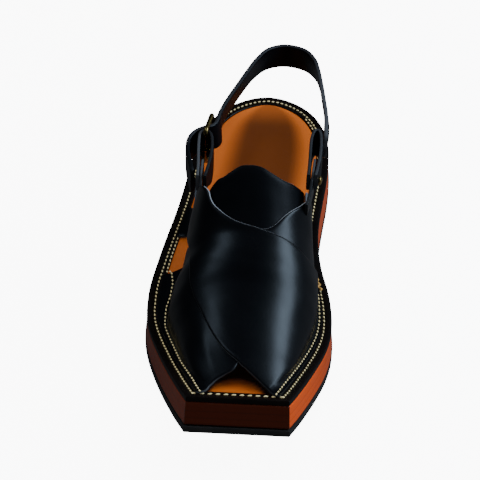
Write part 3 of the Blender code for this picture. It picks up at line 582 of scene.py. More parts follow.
def bridgeRings(count, rings, closedStack=False):
    faces = []
    pairs = rings if closedStack else rings - 1
    for r in range(pairs):
        nextRing = (r + 1) % rings
        for i in range(count):
            j = (i + 1) % count
            faces.append((r * count + i, r * count + j, nextRing * count + j, nextRing * count + i))
    return faces


def capRungs(start, count):
    faces = []
    for i in range(count // 2):
        left = start + i
        right = start + count - 1 - i
        if left + 1 == right - 1:
            faces.append((left, left + 1, right))
        else:
            faces.append((left, left + 1, right - 1, right))
    return faces


# Faces and slots of a closed shell between two point grids, the outer grid after the inner; slot 1 is a cut edge
def shellFaces(rows, width, ends, rim=0):
    size = rows * width
    faces = []
    slots = []
    for i in range(rows - 1):
        for k in range(width - 1):
            a = i * width + k
            faces.append((a, a + 1, a + width + 1, a + width))
            faces.append((size + a, size + a + width, size + a + width + 1, size + a + 1))
            slots.extend([0, 1 if k < rim or k > width - 2 - rim else 0])
        for k in (0, width - 1):
            a = i * width + k
            faces.append((a, a + width, size + a + width, size + a))
            slots.append(1)
    for k in range(width - 1):
        for i in ends:
            a = i * width + k
            faces.append((a, a + 1, size + a + 1, size + a))
            slots.append(1)
    return faces, slots


# Sole pieces; a profile row is outward offset, height function and attribute value
# The front, lateral and medial values set painted shade on those sides of the sole.
soleLook = {
    "layerLines": (0.30, 0.62), "layerDepth": 0.00006, "randGroove": 0.00035, "dish": 0.0007,
    "frontShade": 0.95, "lateralShade": 0.84, "medialShade": 0.30,
}


def midsoleBottom(s):
    return outsoleThickness + seatGap + s * 0


def midsoleTop(s):
    return midsoleBottom(s) + midsoleThickness(s)


def stackLevel(share, s):
    return midsoleBottom(s) + edgeRound + (midsoleThickness(s) - 2 * edgeRound) * share


def randBottom(s):
    return midsoleTop(s) + seatGap


def slabPiece(name, profile, material, label):
    rings = [soleRing(offset, height) for offset, height, value in profile]
    count = len(rings[0])
    faces = bridgeRings(count, len(rings)) + capRungs(0, count) + capRungs(count * (len(rings) - 1), count)
    values = np.repeat([value for offset, height, value in profile], count)
    plan = outlineLoop(0.0)
    s = plan[:, 1] / soleLength
    # Painted shade on the sole's sides: the toe corners and the lateral side are darkened, the medial side, which
    # faces the key light, much less.
    fade = soleLook["medialShade"] + (1 - soleLook["medialShade"]) * easeStep((0.95 - s) / 0.55)
    paintedSideShade = np.where(plan[:, 0] < 0, soleLook["lateralShade"] * fade, soleLook["medialShade"] * easeStep(s / 0.30))
    paintedSideShade[[0, -1]] = soleLook["frontShade"]
    attributes = {label: values, "paintedSideShade": np.tile(paintedSideShade, len(rings))}
    return meshPiece(name, np.vstack(rings), faces, [material], attributes=attributes)


def buildSole():
    flat = outsoleMargin + midsoleFlare
    corner = edgeRound * 0.3
    profile = [(flat - inset, lambda s, level=level: s * 0 + level, 0.0) for inset, level in (
        (edgeRound, 0.0), (corner, corner), (0.0, edgeRound), (0.0, outsoleThickness - edgeRound),
        (corner, outsoleThickness - corner), (edgeRound, outsoleThickness),
    )]
    placePiece(slabPiece("outsole_rubber", profile, soleRubber, "layer"), "black_rubber", "outsole")

    profile = [
        (midsoleFlare - edgeRound, midsoleBottom, 0.8),
        (midsoleFlare, lambda s: midsoleBottom(s) + edgeRound, 0.5),
    ]
    for share in np.linspace(0.08, 0.92, 29):
        near = min(abs(share - line) for line in soleLook["layerLines"])
        dent = soleLook["layerDepth"] * max(0.0, 1 - near / 0.03)
        height = partial(stackLevel, share)
        profile.append((midsoleFlare * (1 - share) - dent, height, 0.35 * max(0.0, 1 - near / 0.04)))
    profile.append((0.0, lambda s: midsoleTop(s) - edgeRound, 0.0))
    profile.append((-edgeRound * 0.35, lambda s: midsoleTop(s) - edgeRound * 0.3, 0.0))
    profile.append((-edgeRound, midsoleTop, 0.6))
    placePiece(slabPiece("midsole_stack", profile, stackedLeather, "layer"), "stacked_leather", "midsole")

    groove = soleLook["randGroove"]
    bandRows = [
        (-randWidth, 0.0), (0.0, 0.0), (0.0, randThickness - edgeRound), (-corner, randThickness - corner),
        (-edgeRound, randThickness), (-0.0034, randThickness), (-0.0040, randThickness - groove * 0.7),
        (-0.0045, randThickness - groove), (-0.0050, randThickness - groove * 0.7), (-0.0056, randThickness),
        (-randWidth + 0.0004, randThickness), (-randWidth, randThickness - 0.0004),
    ]
    rings = [soleRing(out, lambda s, rise=rise: randBottom(s) + rise) for out, rise in bandRows]
    faces = bridgeRings(len(rings[0]), len(rings), closedStack=True)
    placePiece(meshPiece("rand_band", np.vstack(rings), faces, [randLeather]), "black_leather", "rand")


def buildInsole():
    lateral, medial = outlineSides(-randWidth - seatGap, perRow=10)
    across = 34
    shares = 0.5 - 0.5 * np.cos(np.linspace(0.0, pi, across + 1))
    top = []
    bottom = []
    darkMiddleAndPaintedShade = []
    shade = []
    for k in shares:
        plan = lateral + (medial - lateral) * k
        s = np.clip(plan[:, 1] / soleLength, 0.0, 1.0)
        rim = np.minimum(k, 1 - k) * np.linalg.norm(medial - lateral, axis=1)
        rounding = 0.0007 * np.clip(1 - rim / 0.0012, 0.0, 1.0) ** 2
        dish = soleLook["dish"] * np.exp(-((s - 0.84) / 0.10) ** 2) * (4 * k * (1 - k)) ** 2
        dish = dish + soleLook["dish"] * 0.8 * np.exp(-((s - 0.30) / 0.10) ** 2) * (4 * k * (1 - k)) ** 2
        top.append(aboveSole(plan[:, 0], plan[:, 1], randBottom(s) + insoleThickness - rounding - dish))
        bottom.append(aboveSole(plan[:, 0], plan[:, 1], randBottom(s)))
        # Darker in the middle of the heel seat, with painted shade over the forepart under the upper; the toe mask
        # further down is a painted shadow under the front of the upper.
        middle = easeStep((np.minimum(k - 0.04, 1.2 * (1 - k)) - 0.04) / 0.26)
        heelEnd = 0.55 + 0.45 * easeStep((0.975 - s) / 0.08)
        forward = 1 - 0.45 * easeStep((0.66 - s) / 0.14)
        rear = np.maximum(0.92 * middle * forward, 0.12) * heelEnd
        darkMiddleAndPaintedShade.append(rear * easeStep((s - 0.46) / 0.06) + 0.30 * easeStep((0.52 - s) / 0.06))
        arch = 0.082 - 0.55 * (k - 0.48) ** 2
        shade.append(0.98 * easeStep((s - arch + 0.006) / 0.014) * easeStep((0.26 - s) / 0.10))
    verts = np.concatenate([np.stack(top, axis=1).reshape(-1, 3), np.stack(bottom, axis=1).reshape(-1, 3)])
    faces = shellFaces(len(lateral), across + 1, (0,))[0]
    attributes = {
        "darkMiddleAndPaintedShade": np.tile(np.stack(darkMiddleAndPaintedShade, axis=1).reshape(-1), 2),
        "shade": np.tile(np.stack(shade, axis=1).reshape(-1), 2),
    }
    piece = meshPiece("insole_leather", verts, faces, [tanLeather], attributes=attributes)
    placePiece(piece, "tan_leather", "insole")


buildSole()
buildInsole()
print("stage: sole made")


# Soft folds of the leather: from station and turn, to station and turn, half width and depth in metres.
# A negative depth is a trough.
overFolds = [
    (0.345, -0.42, 0.300, -0.05, 0.0050, -0.0009),
    (0.330, -0.38, 0.283, 0.02, 0.0040, 0.0006),
    (0.300, 0.10, 0.325, 0.55, 0.0055, -0.0007),
    (0.275, 0.05, 0.295, 0.50, 0.0050, 0.0005),
    (0.375, -0.25, 0.352, 0.12, 0.0032, -0.0006),
    (0.205, -0.35, 0.120, -0.12, 0.0060, 0.0008),
    (0.180, 0.55, 0.260, 0.78, 0.0060, -0.0008),
    (0.405, -0.62, 0.438, -0.50, 0.0035, -0.0007),
    (0.425, -0.70, 0.452, -0.60, 0.0030, 0.0006),
    (0.250, -0.20, 0.245, 0.20, 0.0070, -0.0005),
]
underFolds = [
    (0.060, -0.45, 0.150, -0.42, 0.0050, 0.0008),
    (0.095, -0.62, 0.200, -0.66, 0.0060, -0.0007),
    (0.300, -0.95, 0.360, -0.72, 0.0050, -0.0008),
    (0.330, -0.88, 0.392, -0.70, 0.0045, 0.0006),
    (0.400, 0.42, 0.430, 0.62, 0.0040, -0.0007),
    (0.420, 0.55, 0.440, 0.72, 0.0035, 0.0005),
]
tongueFolds = [
    (0.380, -0.30, 0.455, -0.16, 0.0040, -0.0005),
    (0.375, 0.28, 0.455, 0.20, 0.0045, -0.0006),
    (0.400, -0.05, 0.462, -0.02, 0.0060, 0.0006),
]
girthPerTurn = 0.062
foldStrength = 0.35


def foldLift(folds, s, turns):
    lift = np.zeros(np.shape(s))
    for s0, t0, s1, t1, halfWidth, depth in folds:
        ax, ay = (s - s0) * soleLength, (turns - t0) * girthPerTurn
        bx, by = (s1 - s0) * soleLength, (t1 - t0) * girthPerTurn
        along = np.clip((ax * bx + ay * by) / (bx * bx + by * by), 0.0, 1.0)
        far = (ax - along * bx) ** 2 + (ay - along * by) ** 2
        lift += depth * (0.35 + 0.65 * np.sin(pi * along)) * np.exp(-far / halfWidth ** 2)
    return lift * foldStrength


# Steps across a panel, close together at both cut edges
def edgeShares(count, rim=0.004):
    inner = np.linspace(rim * 3, 1 - rim * 3, count)
    return np.concatenate([[0.0, rim * 0.35, rim, rim * 2], inner, [1 - rim * 2, 1 - rim, 1 - rim * 0.35, 1.0]])


# A leather panel with a real wall, rounded cut edges and folds
def leatherPanel(name, rows, look):
    lines = smoothRows(rows, look["steps"], look["crowd"])
    shares = edgeShares(look["across"])
    s = lines[:, 0:1] + (lines[:, 2:3] - lines[:, 0:1]) * shares
    turns = lines[:, 1:2] + (lines[:, 3:4] - lines[:, 1:2]) * shares
    base = look["layer"] * layerShare(s, turns)
    folds = foldLift(look["folds"], s, turns) * easeStep((0.98 - np.abs(turns)) / 0.25)
    wall = look["wall"]
    inner = surfacePoints(s, turns, base + folds)
    lengths = np.linalg.norm(inner[:, -1] - inner[:, 0], axis=1)[:, None]
    rim = np.minimum(shares, 1 - shares)[None, :] * lengths
    rounding = 0.42 * wall * np.clip(1 - rim / 0.0011, 0.0, 1.0) ** 2
    outer = surfacePoints(s, turns, base + folds + wall - rounding)
    width = len(shares)
    steps = look["steps"]
    faces, slots = shellFaces(steps + 1, width, (0, steps), 1)
    share = np.arange(steps + 1) / steps
    # Pale colour and painted highlight along the front and back cut edges, higher where an edge catches the lights.
    frontPaleAndHighlight = np.interp(share, *look["frontPaleAndHighlight"])
    backPaleAndHighlight = np.interp(share, *look["backPaleAndHighlight"])
    paleAndHighlight = np.where(shares[None, :] < 0.5, frontPaleAndHighlight[:, None], backPaleAndHighlight[:, None]) * np.ones((steps + 1, width))
    values = np.concatenate([paleAndHighlight.reshape(-1), paleAndHighlight.reshape(-1)])
    verts = np.concatenate([inner.reshape(-1, 3), outer.reshape(-1, 3)])
    face = look.get("face", blackLeather)
    return meshPiece(name, verts, faces, [face, cutEdge], slots, {"paleAndHighlight": values}, 55.0)


underLayer = tongueWall + tongueGap
# The front and back edge tables give the cut edges their pale colour with a painted highlight, higher where an edge
# faces the lights.
tongueLook = {
    "steps": 90, "across": 30, "crowd": 0.0, "layer": 0.0, "wall": tongueWall, "folds": tongueFolds,
    "face": tongueFinish, "frontPaleAndHighlight": ([0, 1], [0, 0]),
    "backPaleAndHighlight": ([0, 0.1, 0.3, 0.62, 0.8, 1], [0.5, 0.25, 0.06, 0.06, 0.35, 0.6]),
}
underLook = {
    "steps": 130, "across": 46, "crowd": 0.6, "layer": underLayer, "wall": panelWall, "folds": underFolds,
    "frontPaleAndHighlight": ([0, 0.3, 0.5, 1], [0.02, 0.10, 0.02, 0.02]),
    "backPaleAndHighlight": ([0, 0.4, 0.7, 0.85, 1], [0.04, 0.1, 0.35, 0.5, 0.5]),
}
overLook = {
    "steps": 130, "across": 46, "crowd": 0.6, "layer": underLayer + panelWall + 0.0001, "wall": panelWall,
    "folds": overFolds, "frontPaleAndHighlight": ([0, 0.3, 0.55, 0.8, 0.92, 1], [0.02, 0.03, 0.08, 0.18, 0.55, 0.6]),
    "backPaleAndHighlight": ([0, 0.3, 0.5, 0.75, 0.95, 1], [0.04, 0.10, 0.30, 0.48, 0.48, 0.35]),
}
legLook = {
    "steps": 40, "across": 16, "crowd": 0.5, "layer": underLayer, "wall": panelWall, "folds": [],
    "frontPaleAndHighlight": ([0, 1], [0.05, 0.2]), "backPaleAndHighlight": ([0, 1], [0.1, 0.25]),
}
medialLegLook = dict(legLook, layer=underLayer - panelWall + 0.0004)


def buildUpper():
    placePiece(leatherPanel("over_panel", overRows, overLook), "black_leather", "upper")
    placePiece(leatherPanel("under_panel", underRows, underLook), "black_leather")
    placePiece(leatherPanel("lateral_leg", lateralLegRows, legLook), "black_leather")
    placePiece(leatherPanel("medial_leg", medialLegRows, medialLegLook), "black_leather")
    placePiece(leatherPanel("tongue_leather", tongueRows, tongueLook), "black_leather", "tongue")


buildUpper()
print("stage: upper made")


# Path of a standing strip: places, side directions and upward directions. With a height it stands upright.
def planPath(rows, steps, height=None):
    points = smoothRows(rows, steps)
    tall = points[:, 2] * strapWidth if height is None else np.full(steps + 1, height)
    lean = points[:, 3] if height is None else np.zeros(steps + 1)
    places = np.stack([points[:, 1] * ballWidth, points[:, 0] * soleLength, tall], axis=-1)
    direction = tangents(places)
    side = unitRows(np.stack([direction[:, 1], -direction[:, 0], np.zeros(steps + 1)], axis=-1))
    up = unitRows(np.array([0.0, 0.0, 1.0]) + side * lean[:, None])
    up = unitRows(up - direction * np.sum(up * direction, axis=1, keepdims=True))
    return places, np.cross(direction, up), up


# Strap leather with rounded edges and crowned faces; the rim rows take the cut edge's finish
# Rise and drop are how far the bottom edge rises and the top edge drops at the open ends, as a share of the width.
def stripPiece(name, path, width, thickness, paleAndHighlight, face, endRound=0.0, rise=0.0, drop=0.0):
    places, side, up = path
    half, tall = thickness / 2, width / 2
    corner = thickness * 0.36
    outline = []
    for k in range(13):
        outline.append((half + 0.00012 * (1 - (k / 6 - 1) ** 2), (k / 6 - 1) * (tall - corner), 0))
    for k in range(1, 6):
        angle = k / 6 * pi
        outline.append((half * cos(angle), tall - corner + corner * sin(angle), 1))
    for k in range(13):
        outline.append((-half - 0.00012 * (1 - (k / 6 - 1) ** 2), (1 - k / 6) * (tall - corner), 0))
    for k in range(1, 6):
        angle = k / 6 * pi
        outline.append((-half * cos(angle), corner - tall - corner * sin(angle), 1))
    count = len(outline)
    steps = len(places)
    lengths = np.concatenate([[0.0], np.cumsum(np.linalg.norm(np.diff(places, axis=0), axis=1))])
    fromEnd = np.minimum(lengths, lengths[-1] - lengths)
    shrink = np.ones(steps)
    if endRound > 0:
        inside = np.clip(fromEnd / endRound, 0.0, 1.0)
        shrink = 0.55 + 0.45 * np.sqrt(1 - (1 - inside) ** 2)
    nearEnd = 1 - easeStep(fromEnd / strapLook["taperLength"])
    nearStart = 1 - easeStep(lengths / strapLook["taperLength"])
    verts = []
    for i in range(steps):
        low = rise * nearEnd[i]
        high = drop * nearStart[i]
        for a, b, rimFlag in outline:
            level = b * shrink[i]
            level += (tall - b) * low - (tall + b) * high
            verts.append(places[i] + side[i] * a + up[i] * level)
    faces = []
    slots = []
    for r in range(steps - 1):
        for i in range(count):
            j = (i + 1) % count
            faces.append((r * count + i, r * count + j, (r + 1) * count + j, (r + 1) * count + i))
            slots.append(1 if outline[i][2] and outline[j][2] else 0)
    faces.append(tuple(range(count)))
    faces.append(tuple((steps - 1) * count + i for i in range(count)))
    slots.extend([1, 1])
    # Pale colour and painted highlight along the strip's rim rows, set from the table.
    values = np.repeat(np.interp(np.arange(steps) / (steps - 1), *paleAndHighlight), count)
    return meshPiece(name, verts, faces, [face, cutEdge], slots, {"paleAndHighlight": values}, 60.0)


# The strap, lateral and medial tables give the rims a pale colour with a painted highlight, so their top edges read
# as thin lit lines.
strapLook = {
    "strapPaleAndHighlight": ([0, 0.12, 0.3, 0.6, 0.8, 0.9, 1], [0.10, 0.10, 0.03, 0.03, 0.05, 0.0, 0.0]),
    "lateralPaleAndHighlight": ([0, 0.5, 0.7, 1], [0.02, 0.02, 0.10, 0.10]), "medialPaleAndHighlight": ([0, 1], [0.03, 0.06]),
    "loopRise": 0.42, "earDrop": 0.55, "taperLength": 0.019,
}


def buildStraps():
    look = strapLook
    path = planPath(strapRows, 420)
    strap = stripPiece("heel_strap", path, strapWidth, strapThickness, look["strapPaleAndHighlight"], strapLeather, 0.004)
    placePiece(strap, "black_leather", "back_strap")
    for name, rows, tall, paleAndHighlight, cadNode in (
        ("buckle_loop", lateralLoopRows, lateralLoopHeight, look["lateralPaleAndHighlight"], "lateral_loop"),
        ("inner_loop", medialLoopRows, medialLoopHeight, look["medialPaleAndHighlight"], "medial_loop"),
    ):
        path = planPath(rows, 120, tall * strapWidth)
        loop = stripPiece(name, path, loopWidth, loopWall, paleAndHighlight, strapLeather, rise=look["loopRise"])
        placePiece(loop, "black_leather", cadNode)
    for name, rows, tall, paleAndHighlight in (
        ("lateral_ear", lateralEarRows, lateralLoopHeight, look["lateralPaleAndHighlight"]),
        ("medial_ear", medialEarRows, medialLoopHeight, look["lateralPaleAndHighlight"]),
    ):
        path = planPath(rows, 60, tall * strapWidth)
        ear = stripPiece(name, path, earWidth, panelWall, paleAndHighlight, blackLeather, drop=look["earDrop"])
        placePiece(ear, "black_leather")


buildStraps()
print("stage: straps made")


# Brass wire as a bevelled curve turned to a mesh
def wirePiece(name, points, radius, closed, material):
    curve = bpy.data.curves.new(name, "CURVE")
    curve.dimensions = "3D"
    curve.bevel_depth = radius
    curve.bevel_resolution = 5
    curve.use_fill_caps = True
    spline = curve.splines.new("POLY")
    spline.points.add(len(points) - 1)
    for target, point in zip(spline.points, points):
        target.co = (*point, 1.0)
    spline.use_cyclic_u = closed
    holder = addObject(name, curve)
    bpy.context.view_layer.update()
    mesh = bpy.data.meshes.new_from_object(holder)
    bpy.data.objects.remove(holder, do_unlink=True)
    finishMesh(mesh, 50)
    mesh.materials.clear()
    mesh.materials.append(material)
    return addObject(name, mesh)


# Cuts an opening into a piece and drops the cutter
def cutOpening(piece, cutter):
    modifier = piece.modifiers.new("opening", "BOOLEAN")
    modifier.operation = "DIFFERENCE"
    modifier.solver = "EXACT"
    modifier.object = cutter
    bpy.context.view_layer.update()
    made = bpy.data.meshes.new_from_object(piece.evaluated_get(bpy.context.evaluated_depsgraph_get()))
    piece.modifiers.remove(modifier)
    piece.data = made
    bpy.data.objects.remove(cutter, do_unlink=True)


def planPoint(row, height):
    return Vector((row[1] * ballWidth, row[0] * soleLength, height))


def buildBrass():
    middle = lateralLoopHeight * strapWidth
    hinge = planPoint(hingeBar, middle)
    rest = planPoint(restBar, middle)
    run = (rest - hinge).normalized()
    side = Vector((-run.y, run.x, 0))
    half = loopWidth / 2 + wireRadius + buckleClearance
    corner = 0.0030
    framePoints = []
    for centre, outward, rising in ((rest, run, True), (rest, run, False), (hinge, -run, False), (hinge, -run, True)):
        steps = range(9) if (centre == rest) == rising else range(8, -1, -1)
        for k in steps:
            angle = k / 8 * pi / 2
            level = half - corner * (1 - cos(angle))
            upward = Vector((0, 0, level if rising else -level))
            framePoints.append(centre + outward * (corner * (sin(angle) - 1)) + upward)
    placePiece(wirePiece("brass_frame", framePoints, wireRadius, True, agedBrass), "brass", "buckle_frame")
    ring = wireRadius + seatGap + prongRadius
    prong = []
    for k in range(21):
        angle = pi * (0.30 + 1.45 * k / 20)
        prong.append(hinge + run * (ring * cos(angle)) + side * (ring * sin(angle)))
    prong.append(rest - run * 0.0030 + side * ring)
    prong.append(rest + run * 0.0024 + side * ring)
    placePiece(wirePiece("brass_prong", prong, prongRadius, False, agedBrass), "brass", "buckle_prong")
    holeCutter = wirePiece("hole_cutter", prong, prongRadius + 2 * seatGap, False, agedBrass)
    cutOpening(bpy.data.objects["heel_strap"], holeCutter)
    slotReach = wireRadius + 2 * prongRadius + 2 * seatGap + loopWall
    slotHalf = Vector((0, 0, prongRadius + 0.0006))
    cutOpening(
        bpy.data.objects["buckle_loop"],
        wirePiece("slot_cutter", [hinge - slotHalf, hinge + slotHalf], slotReach, False, agedBrass),
    )

    points = smoothRows(medialLoopRows, 30)
    tall = medialLoopHeight * strapWidth
    place = planPoint(points[28], tall)
    direction = (place - planPoint(points[29], tall)).normalized()
    outward = Vector((direction.y, -direction.x, 0)).normalized()
    across = outward.cross(Vector((0, 0, 1)))
    base = place + outward * (loopWall / 2 + seatGap)
    verts = []
    profile = [(1.0, 0.0), (1.0, 0.12)] + [(cos(a), 0.12 + 0.5 * sin(a)) for a in np.linspace(0.15, 1.35, 7)]
    for share, rise in profile:
        for k in range(32):
            angle = 2 * pi * k / 32
            around = across * cos(angle) + Vector((0, 0, 1)) * sin(angle)
            verts.append(base + around * (rivetRadius * share) + outward * (rivetRadius * rise))
    faces = bridgeRings(32, len(profile))
    faces.append(tuple(range(32)))
    faces.append(tuple(range(32 * (len(profile) - 1), 32 * len(profile))))
    placePiece(meshPiece("brass_rivet", [tuple(v) for v in verts], faces, [agedBrass]), "brass", "rivet")


buildBrass()
print("stage: brass made")


# Stitches along a path by Geometry Nodes; jitter turns each one by 0.6 to 1.4 times the slant
def makeStitchTree():
    tree = bpy.data.node_groups.new("stitch_row", "GeometryNodeTree")
    for label, kind in (
        ("Geometry", "NodeSocketGeometry"), ("Pitch", "NodeSocketFloat"), ("Stitch Size", "NodeSocketVector"),
        ("Slant", "NodeSocketFloat"), ("Seed", "NodeSocketInt"), ("Finish", "NodeSocketMaterial"),
    ):
        tree.interface.new_socket(name=label, in_out="INPUT", socket_type=kind)
    tree.interface.new_socket(name="Geometry", in_out="OUTPUT", socket_type="NodeSocketGeometry")
    nodes = {label: tree.nodes.new(kind) for label, kind in (
        ("entry", "NodeGroupInput"), ("leave", "NodeGroupOutput"), ("curve", "GeometryNodeMeshToCurve"),
        ("resample", "GeometryNodeResampleCurve"), ("tangent", "GeometryNodeInputTangent"),
        ("align", "FunctionNodeAlignRotationToVector"), ("stitch", "GeometryNodeMeshUVSphere"),
        ("spread", "GeometryNodeInstanceOnPoints"), ("jitter", "FunctionNodeRandomValue"), ("turn", "ShaderNodeMath"),
        ("angles", "ShaderNodeCombineXYZ"), ("rotate", "GeometryNodeRotateInstances"),
        ("realize", "GeometryNodeRealizeInstances"), ("dress", "GeometryNodeSetMaterial"),
    )}
    nodes["resample"].mode = "LENGTH"
    nodes["align"].axis = "X"
    nodes["jitter"].data_type = "FLOAT"
    nodes["turn"].operation = "MULTIPLY"
    for label, socket, value in (
        ("stitch", "Segments", 10), ("stitch", "Rings", 7), ("stitch", "Radius", 0.5),
        ("jitter", 2, 0.6), ("jitter", 3, 1.4),
    ):
        nodes[label].inputs[socket].default_value = value
    for source, output, target, socket in (
        ("entry", "Geometry", "curve", "Mesh"), ("curve", "Curve", "resample", "Curve"),
        ("entry", "Pitch", "resample", "Length"), ("resample", "Curve", "spread", "Points"),
        ("stitch", "Mesh", "spread", "Instance"), ("tangent", "Tangent", "align", "Vector"),
        ("align", "Rotation", "spread", "Rotation"), ("entry", "Stitch Size", "spread", "Scale"),
        ("entry", "Seed", "jitter", "Seed"), ("entry", "Slant", "turn", 0), ("jitter", 1, "turn", 1),
        ("turn", 0, "angles", "Z"), ("spread", "Instances", "rotate", "Instances"),
        ("angles", "Vector", "rotate", "Rotation"), ("rotate", "Instances", "realize", "Geometry"),
        ("realize", "Geometry", "dress", "Geometry"), ("entry", "Finish", "dress", "Material"),
        ("dress", "Geometry", "leave", "Geometry"),
    ):
        tree.links.new(nodes[source].outputs[output], nodes[target].inputs[socket])
    return tree


stitchTree = makeStitchTree()
stitchLook = {
    "pitch": 0.0029, "size": (0.0019, 0.00092, 0.0009), "slant": 0.16, "seed": 4, "outerOffset": -0.0045,
}
innerLook = dict(stitchLook, seed=12)
frontLook = dict(stitchLook, pitch=0.0041, size=(0.0026, 0.0010, 0.0009), seed=9)


def stitchRow(name, path, look, material):
    mesh = bpy.data.meshes.new(name)
    mesh.from_pydata([tuple(p) for p in path], [(i, i + 1) for i in range(len(path) - 1)], [])
    holder = addObject(name, mesh)
    modifier = holder.modifiers.new("stitches", "NODES")
    modifier.node_group = stitchTree
    values = {
        "Pitch": look["pitch"], "Stitch Size": look["size"], "Slant": look["slant"], "Seed": look["seed"],
        "Finish": material,
    }
    for item in stitchTree.interface.items_tree:
        if item.in_out == "INPUT" and item.name in values:
            modifier[item.identifier] = values[item.name]
    bpy.context.view_layer.update()
    depsgraph = bpy.context.evaluated_depsgraph_get()
    made = bpy.data.meshes.new_from_object(holder.evaluated_get(depsgraph))
    bpy.data.objects.remove(holder, do_unlink=True)
    made.transform(Matrix.Translation(placedShift))
    made.shade_smooth()
    return placePiece(addObject(name, made), "black_leather")


# Inner rows: station and distance from the sole's edge
lateralInner = [
    (0.014, 0.0084), (0.10, 0.0090), (0.30, 0.0090), (0.39, 0.0086), (0.425, 0.0078), (0.455, 0.0070),
    (0.52, 0.0068), (0.60, 0.0068),
]
medialInner = [(0.014, 0.0084), (0.10, 0.0086), (0.20, 0.0080), (0.30, 0.0074), (0.395, 0.0068)]


# A row at that distance from the edge: on the panel's flange as far as panelEnd, then on the rand
def innerPath(rows, sideIndex, layer, panelEnd, lift=0.0):
    s = np.linspace(rows[0][0], rows[-1][0], 220)
    direction = -1 if sideIndex == 0 else 1
    edge = direction * columnAt(outlineRows, sideIndex + 1, s) * ballWidth
    slope = np.gradient(edge, s * soleLength)
    away = columnAt(rows, 1, s) * np.sqrt(1 + slope ** 2)
    bend = toeWallTurn + (wallTurn - toeWallTurn) * easeStep(s / 0.24)
    inward = 1 - np.sqrt(np.clip(1 - (columnAt(rows, 1, s) - stitchMargin) / flangeWidth, 0.05, 1.0))
    turns = flangeTurn - inward * (flangeTurn - bend)
    onPanel = surfacePoints(s, direction * turns, layer * layerShare(s, turns) + panelWall + lift)
    onRand = aboveSole(edge - direction * away, s * soleLength, deckHeight(s) + 0.0001 + lift)
    return np.where((s < panelEnd)[:, None], onPanel, onRand)


def buildStitches():
    lateral, medial = outlineSides(stitchLook["outerOffset"], perRow=8)
    around = np.vstack([lateral, medial[-2::-1]])
    s = np.clip(around[:, 1] / soleLength, 0.0, 1.0)
    path = aboveSole(around[:, 0], around[:, 1], deckHeight(s) - 0.00005)
    stitchRow("outer_stitches", path, stitchLook, threadFinish)
    first, last = path[0], path[-1]
    front = [first + (last - first) * t for t in np.linspace(0.02, 0.98, 30)]
    stitchRow("front_stitches", front, frontLook, threadFinish)
    path = innerPath(lateralInner, 0, underLayer, 0.432)
    stitchRow("lateral_inner_stitches", path, innerLook, threadFinish)
    path = innerPath(medialInner, 1, overLook["layer"], 0.42)
    stitchRow("medial_inner_stitches", path, innerLook, threadFinish)
    path = innerPath([(0.80, 0.0066), (0.925, 0.0066)], 1, 0.0, 0.0)
    stitchRow("heel_inner_stitches", path, innerLook, threadFinish)
    start = innerPath([(0.400, 0.0044), (0.440, 0.0050)], 1, 0.0, 0.0, 0.0012)
    loose = [Vector(start[i]) + Vector((0.0007 * sin(i * 0.09), 0, 0.0003 * sin(i * 0.13))) for i in range(0, 220, 8)]
    placePiece(wirePiece("loose_thread", loose, 0.00055, False, goldThread), "black_leather")


buildStitches()
print("stage: stitches made")


# Camera of the photo turned so that the one shoe is in the middle
cameraLook = {
    "position": (0.019289, -0.676511, 0.801560), "right": (0.99857, 0.01105, 0.05230),
    "up": (-0.04573, 0.68309, 0.72890), "back": (-0.02768, -0.73025, 0.68262),
    "focal": 1961.8, "centrePixel": (135, 240), "imageSize": 480,
}


def buildCamera():
    look = cameraLook
    right, up, back = (Vector(look[k]) for k in ("right", "up", "back"))
    half = look["imageSize"] / 2
    ray = -back + right * ((look["centrePixel"][0] - half) / look["focal"])
    ray = ray + up * ((half - look["centrePixel"][1]) / look["focal"])
    newBack = (-ray).normalized()
    newRight = up.cross(newBack).normalized()
    newUp = newBack.cross(newRight)
    data = bpy.data.cameras.new("photo_camera")
    data.sensor_width = 36.0
    data.lens = look["focal"] / look["imageSize"] * 36.0
    data.clip_start = 0.05
    data.clip_end = 30.0
    camera = addObject("photo_camera", data)
    camera.matrix_world = Matrix((
        (newRight.x, newUp.x, newBack.x, look["position"][0] + placedShift.x),
        (newRight.y, newUp.y, newBack.y, look["position"][1] + placedShift.y),
        (newRight.z, newUp.z, newBack.z, look["position"][2]),
        (0, 0, 0, 1),
    ))
    bpy.context.scene.camera = camera


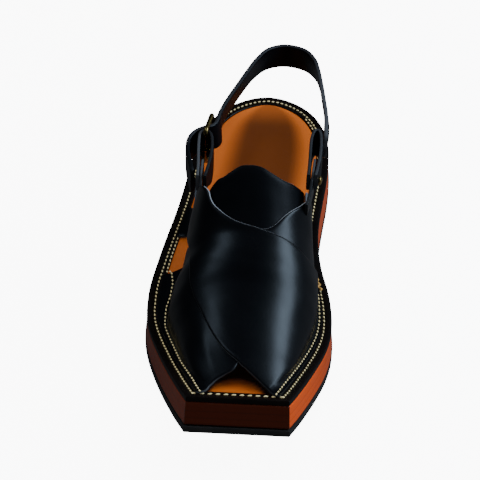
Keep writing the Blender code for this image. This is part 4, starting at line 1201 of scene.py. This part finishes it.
# Area lights: place, aim, width, height, watts
lightLook = {
    "window_right": ((0.80, 0.08, 0.62), (0.0, -0.03, 0.04), 0.62, 0.42, 7.5),
    "soft_left": ((-0.58, 0.10, 0.88), (0.0, -0.06, 0.04), 0.30, 0.30, 1.1),
    "soft_top": ((0.25, 0.45, 1.60), (0.0, 0.0, 0.0), 1.20, 1.20, 14.0),
}
coolTint = (0.62, 0.80, 1.0)
worldLook = {"skyColour": (0.95, 0.96, 1.0), "mirroredColour": (0.012, 0.015, 0.020), "strength": 0.42}
floorLook = {"size": 6.0, "lightColour": (0.10, 0.10, 0.10), "cameraColour": (0.93, 0.93, 0.93), "glow": 9.0}


def buildLights():
    for name, (place, aim, width, height, watts) in lightLook.items():
        data = bpy.data.lights.new(name, "AREA")
        data.shape = "RECTANGLE"
        data.size = width
        data.size_y = height
        data.energy = watts
        if name != "soft_top":
            data.color = coolTint
        light = addObject(name, data)
        light.location = place
        light.rotation_euler = (Vector(aim) - Vector(place)).to_track_quat("-Z", "Y").to_euler()
        if name == "soft_top":
            light.visible_glossy = False
    world = bpy.data.worlds.new("studio")
    bpy.context.scene.world = world
    world.use_nodes = True
    tree = world.node_tree
    background = tree.nodes["Background"]
    path = tree.nodes.new("ShaderNodeLightPath")
    sky = mixNode(tree, path.outputs["Is Glossy Ray"], worldLook["skyColour"], worldLook["mirroredColour"])
    tree.links.new(sky, background.inputs["Color"])
    background.inputs["Strength"].default_value = worldLook["strength"]


def buildFloor():
    mesh = bpy.data.meshes.new("studio_floor")
    size = floorLook["size"]
    mesh.from_pydata([(-size, -size, 0), (size, -size, 0), (size, size, 0), (-size, size, 0)], [], [(0, 1, 2, 3)])
    material = bpy.data.materials.new("pale_floor")
    material.use_nodes = True
    tree = material.node_tree
    shader = tree.nodes["Principled BSDF"]
    path = tree.nodes.new("ShaderNodeLightPath")
    cameraRay = path.outputs["Is Camera Ray"]
    colour = mixNode(tree, cameraRay, floorLook["lightColour"], floorLook["cameraColour"])
    tree.links.new(colour, shader.inputs["Base Color"])
    shader.inputs["Emission Color"].default_value = (1.0, 1.0, 1.0, 1.0)
    glow = mathNode(tree, "MULTIPLY", cameraRay, floorLook["glow"])
    tree.links.new(glow, shader.inputs["Emission Strength"])
    shader.inputs["Roughness"].default_value = 0.85
    shader.inputs["Specular IOR Level"].default_value = 0.1
    mesh.materials.append(material)
    addObject("studio_floor", mesh)


buildCamera()
buildLights()
buildFloor()
print("stage: camera, lights and floor made")
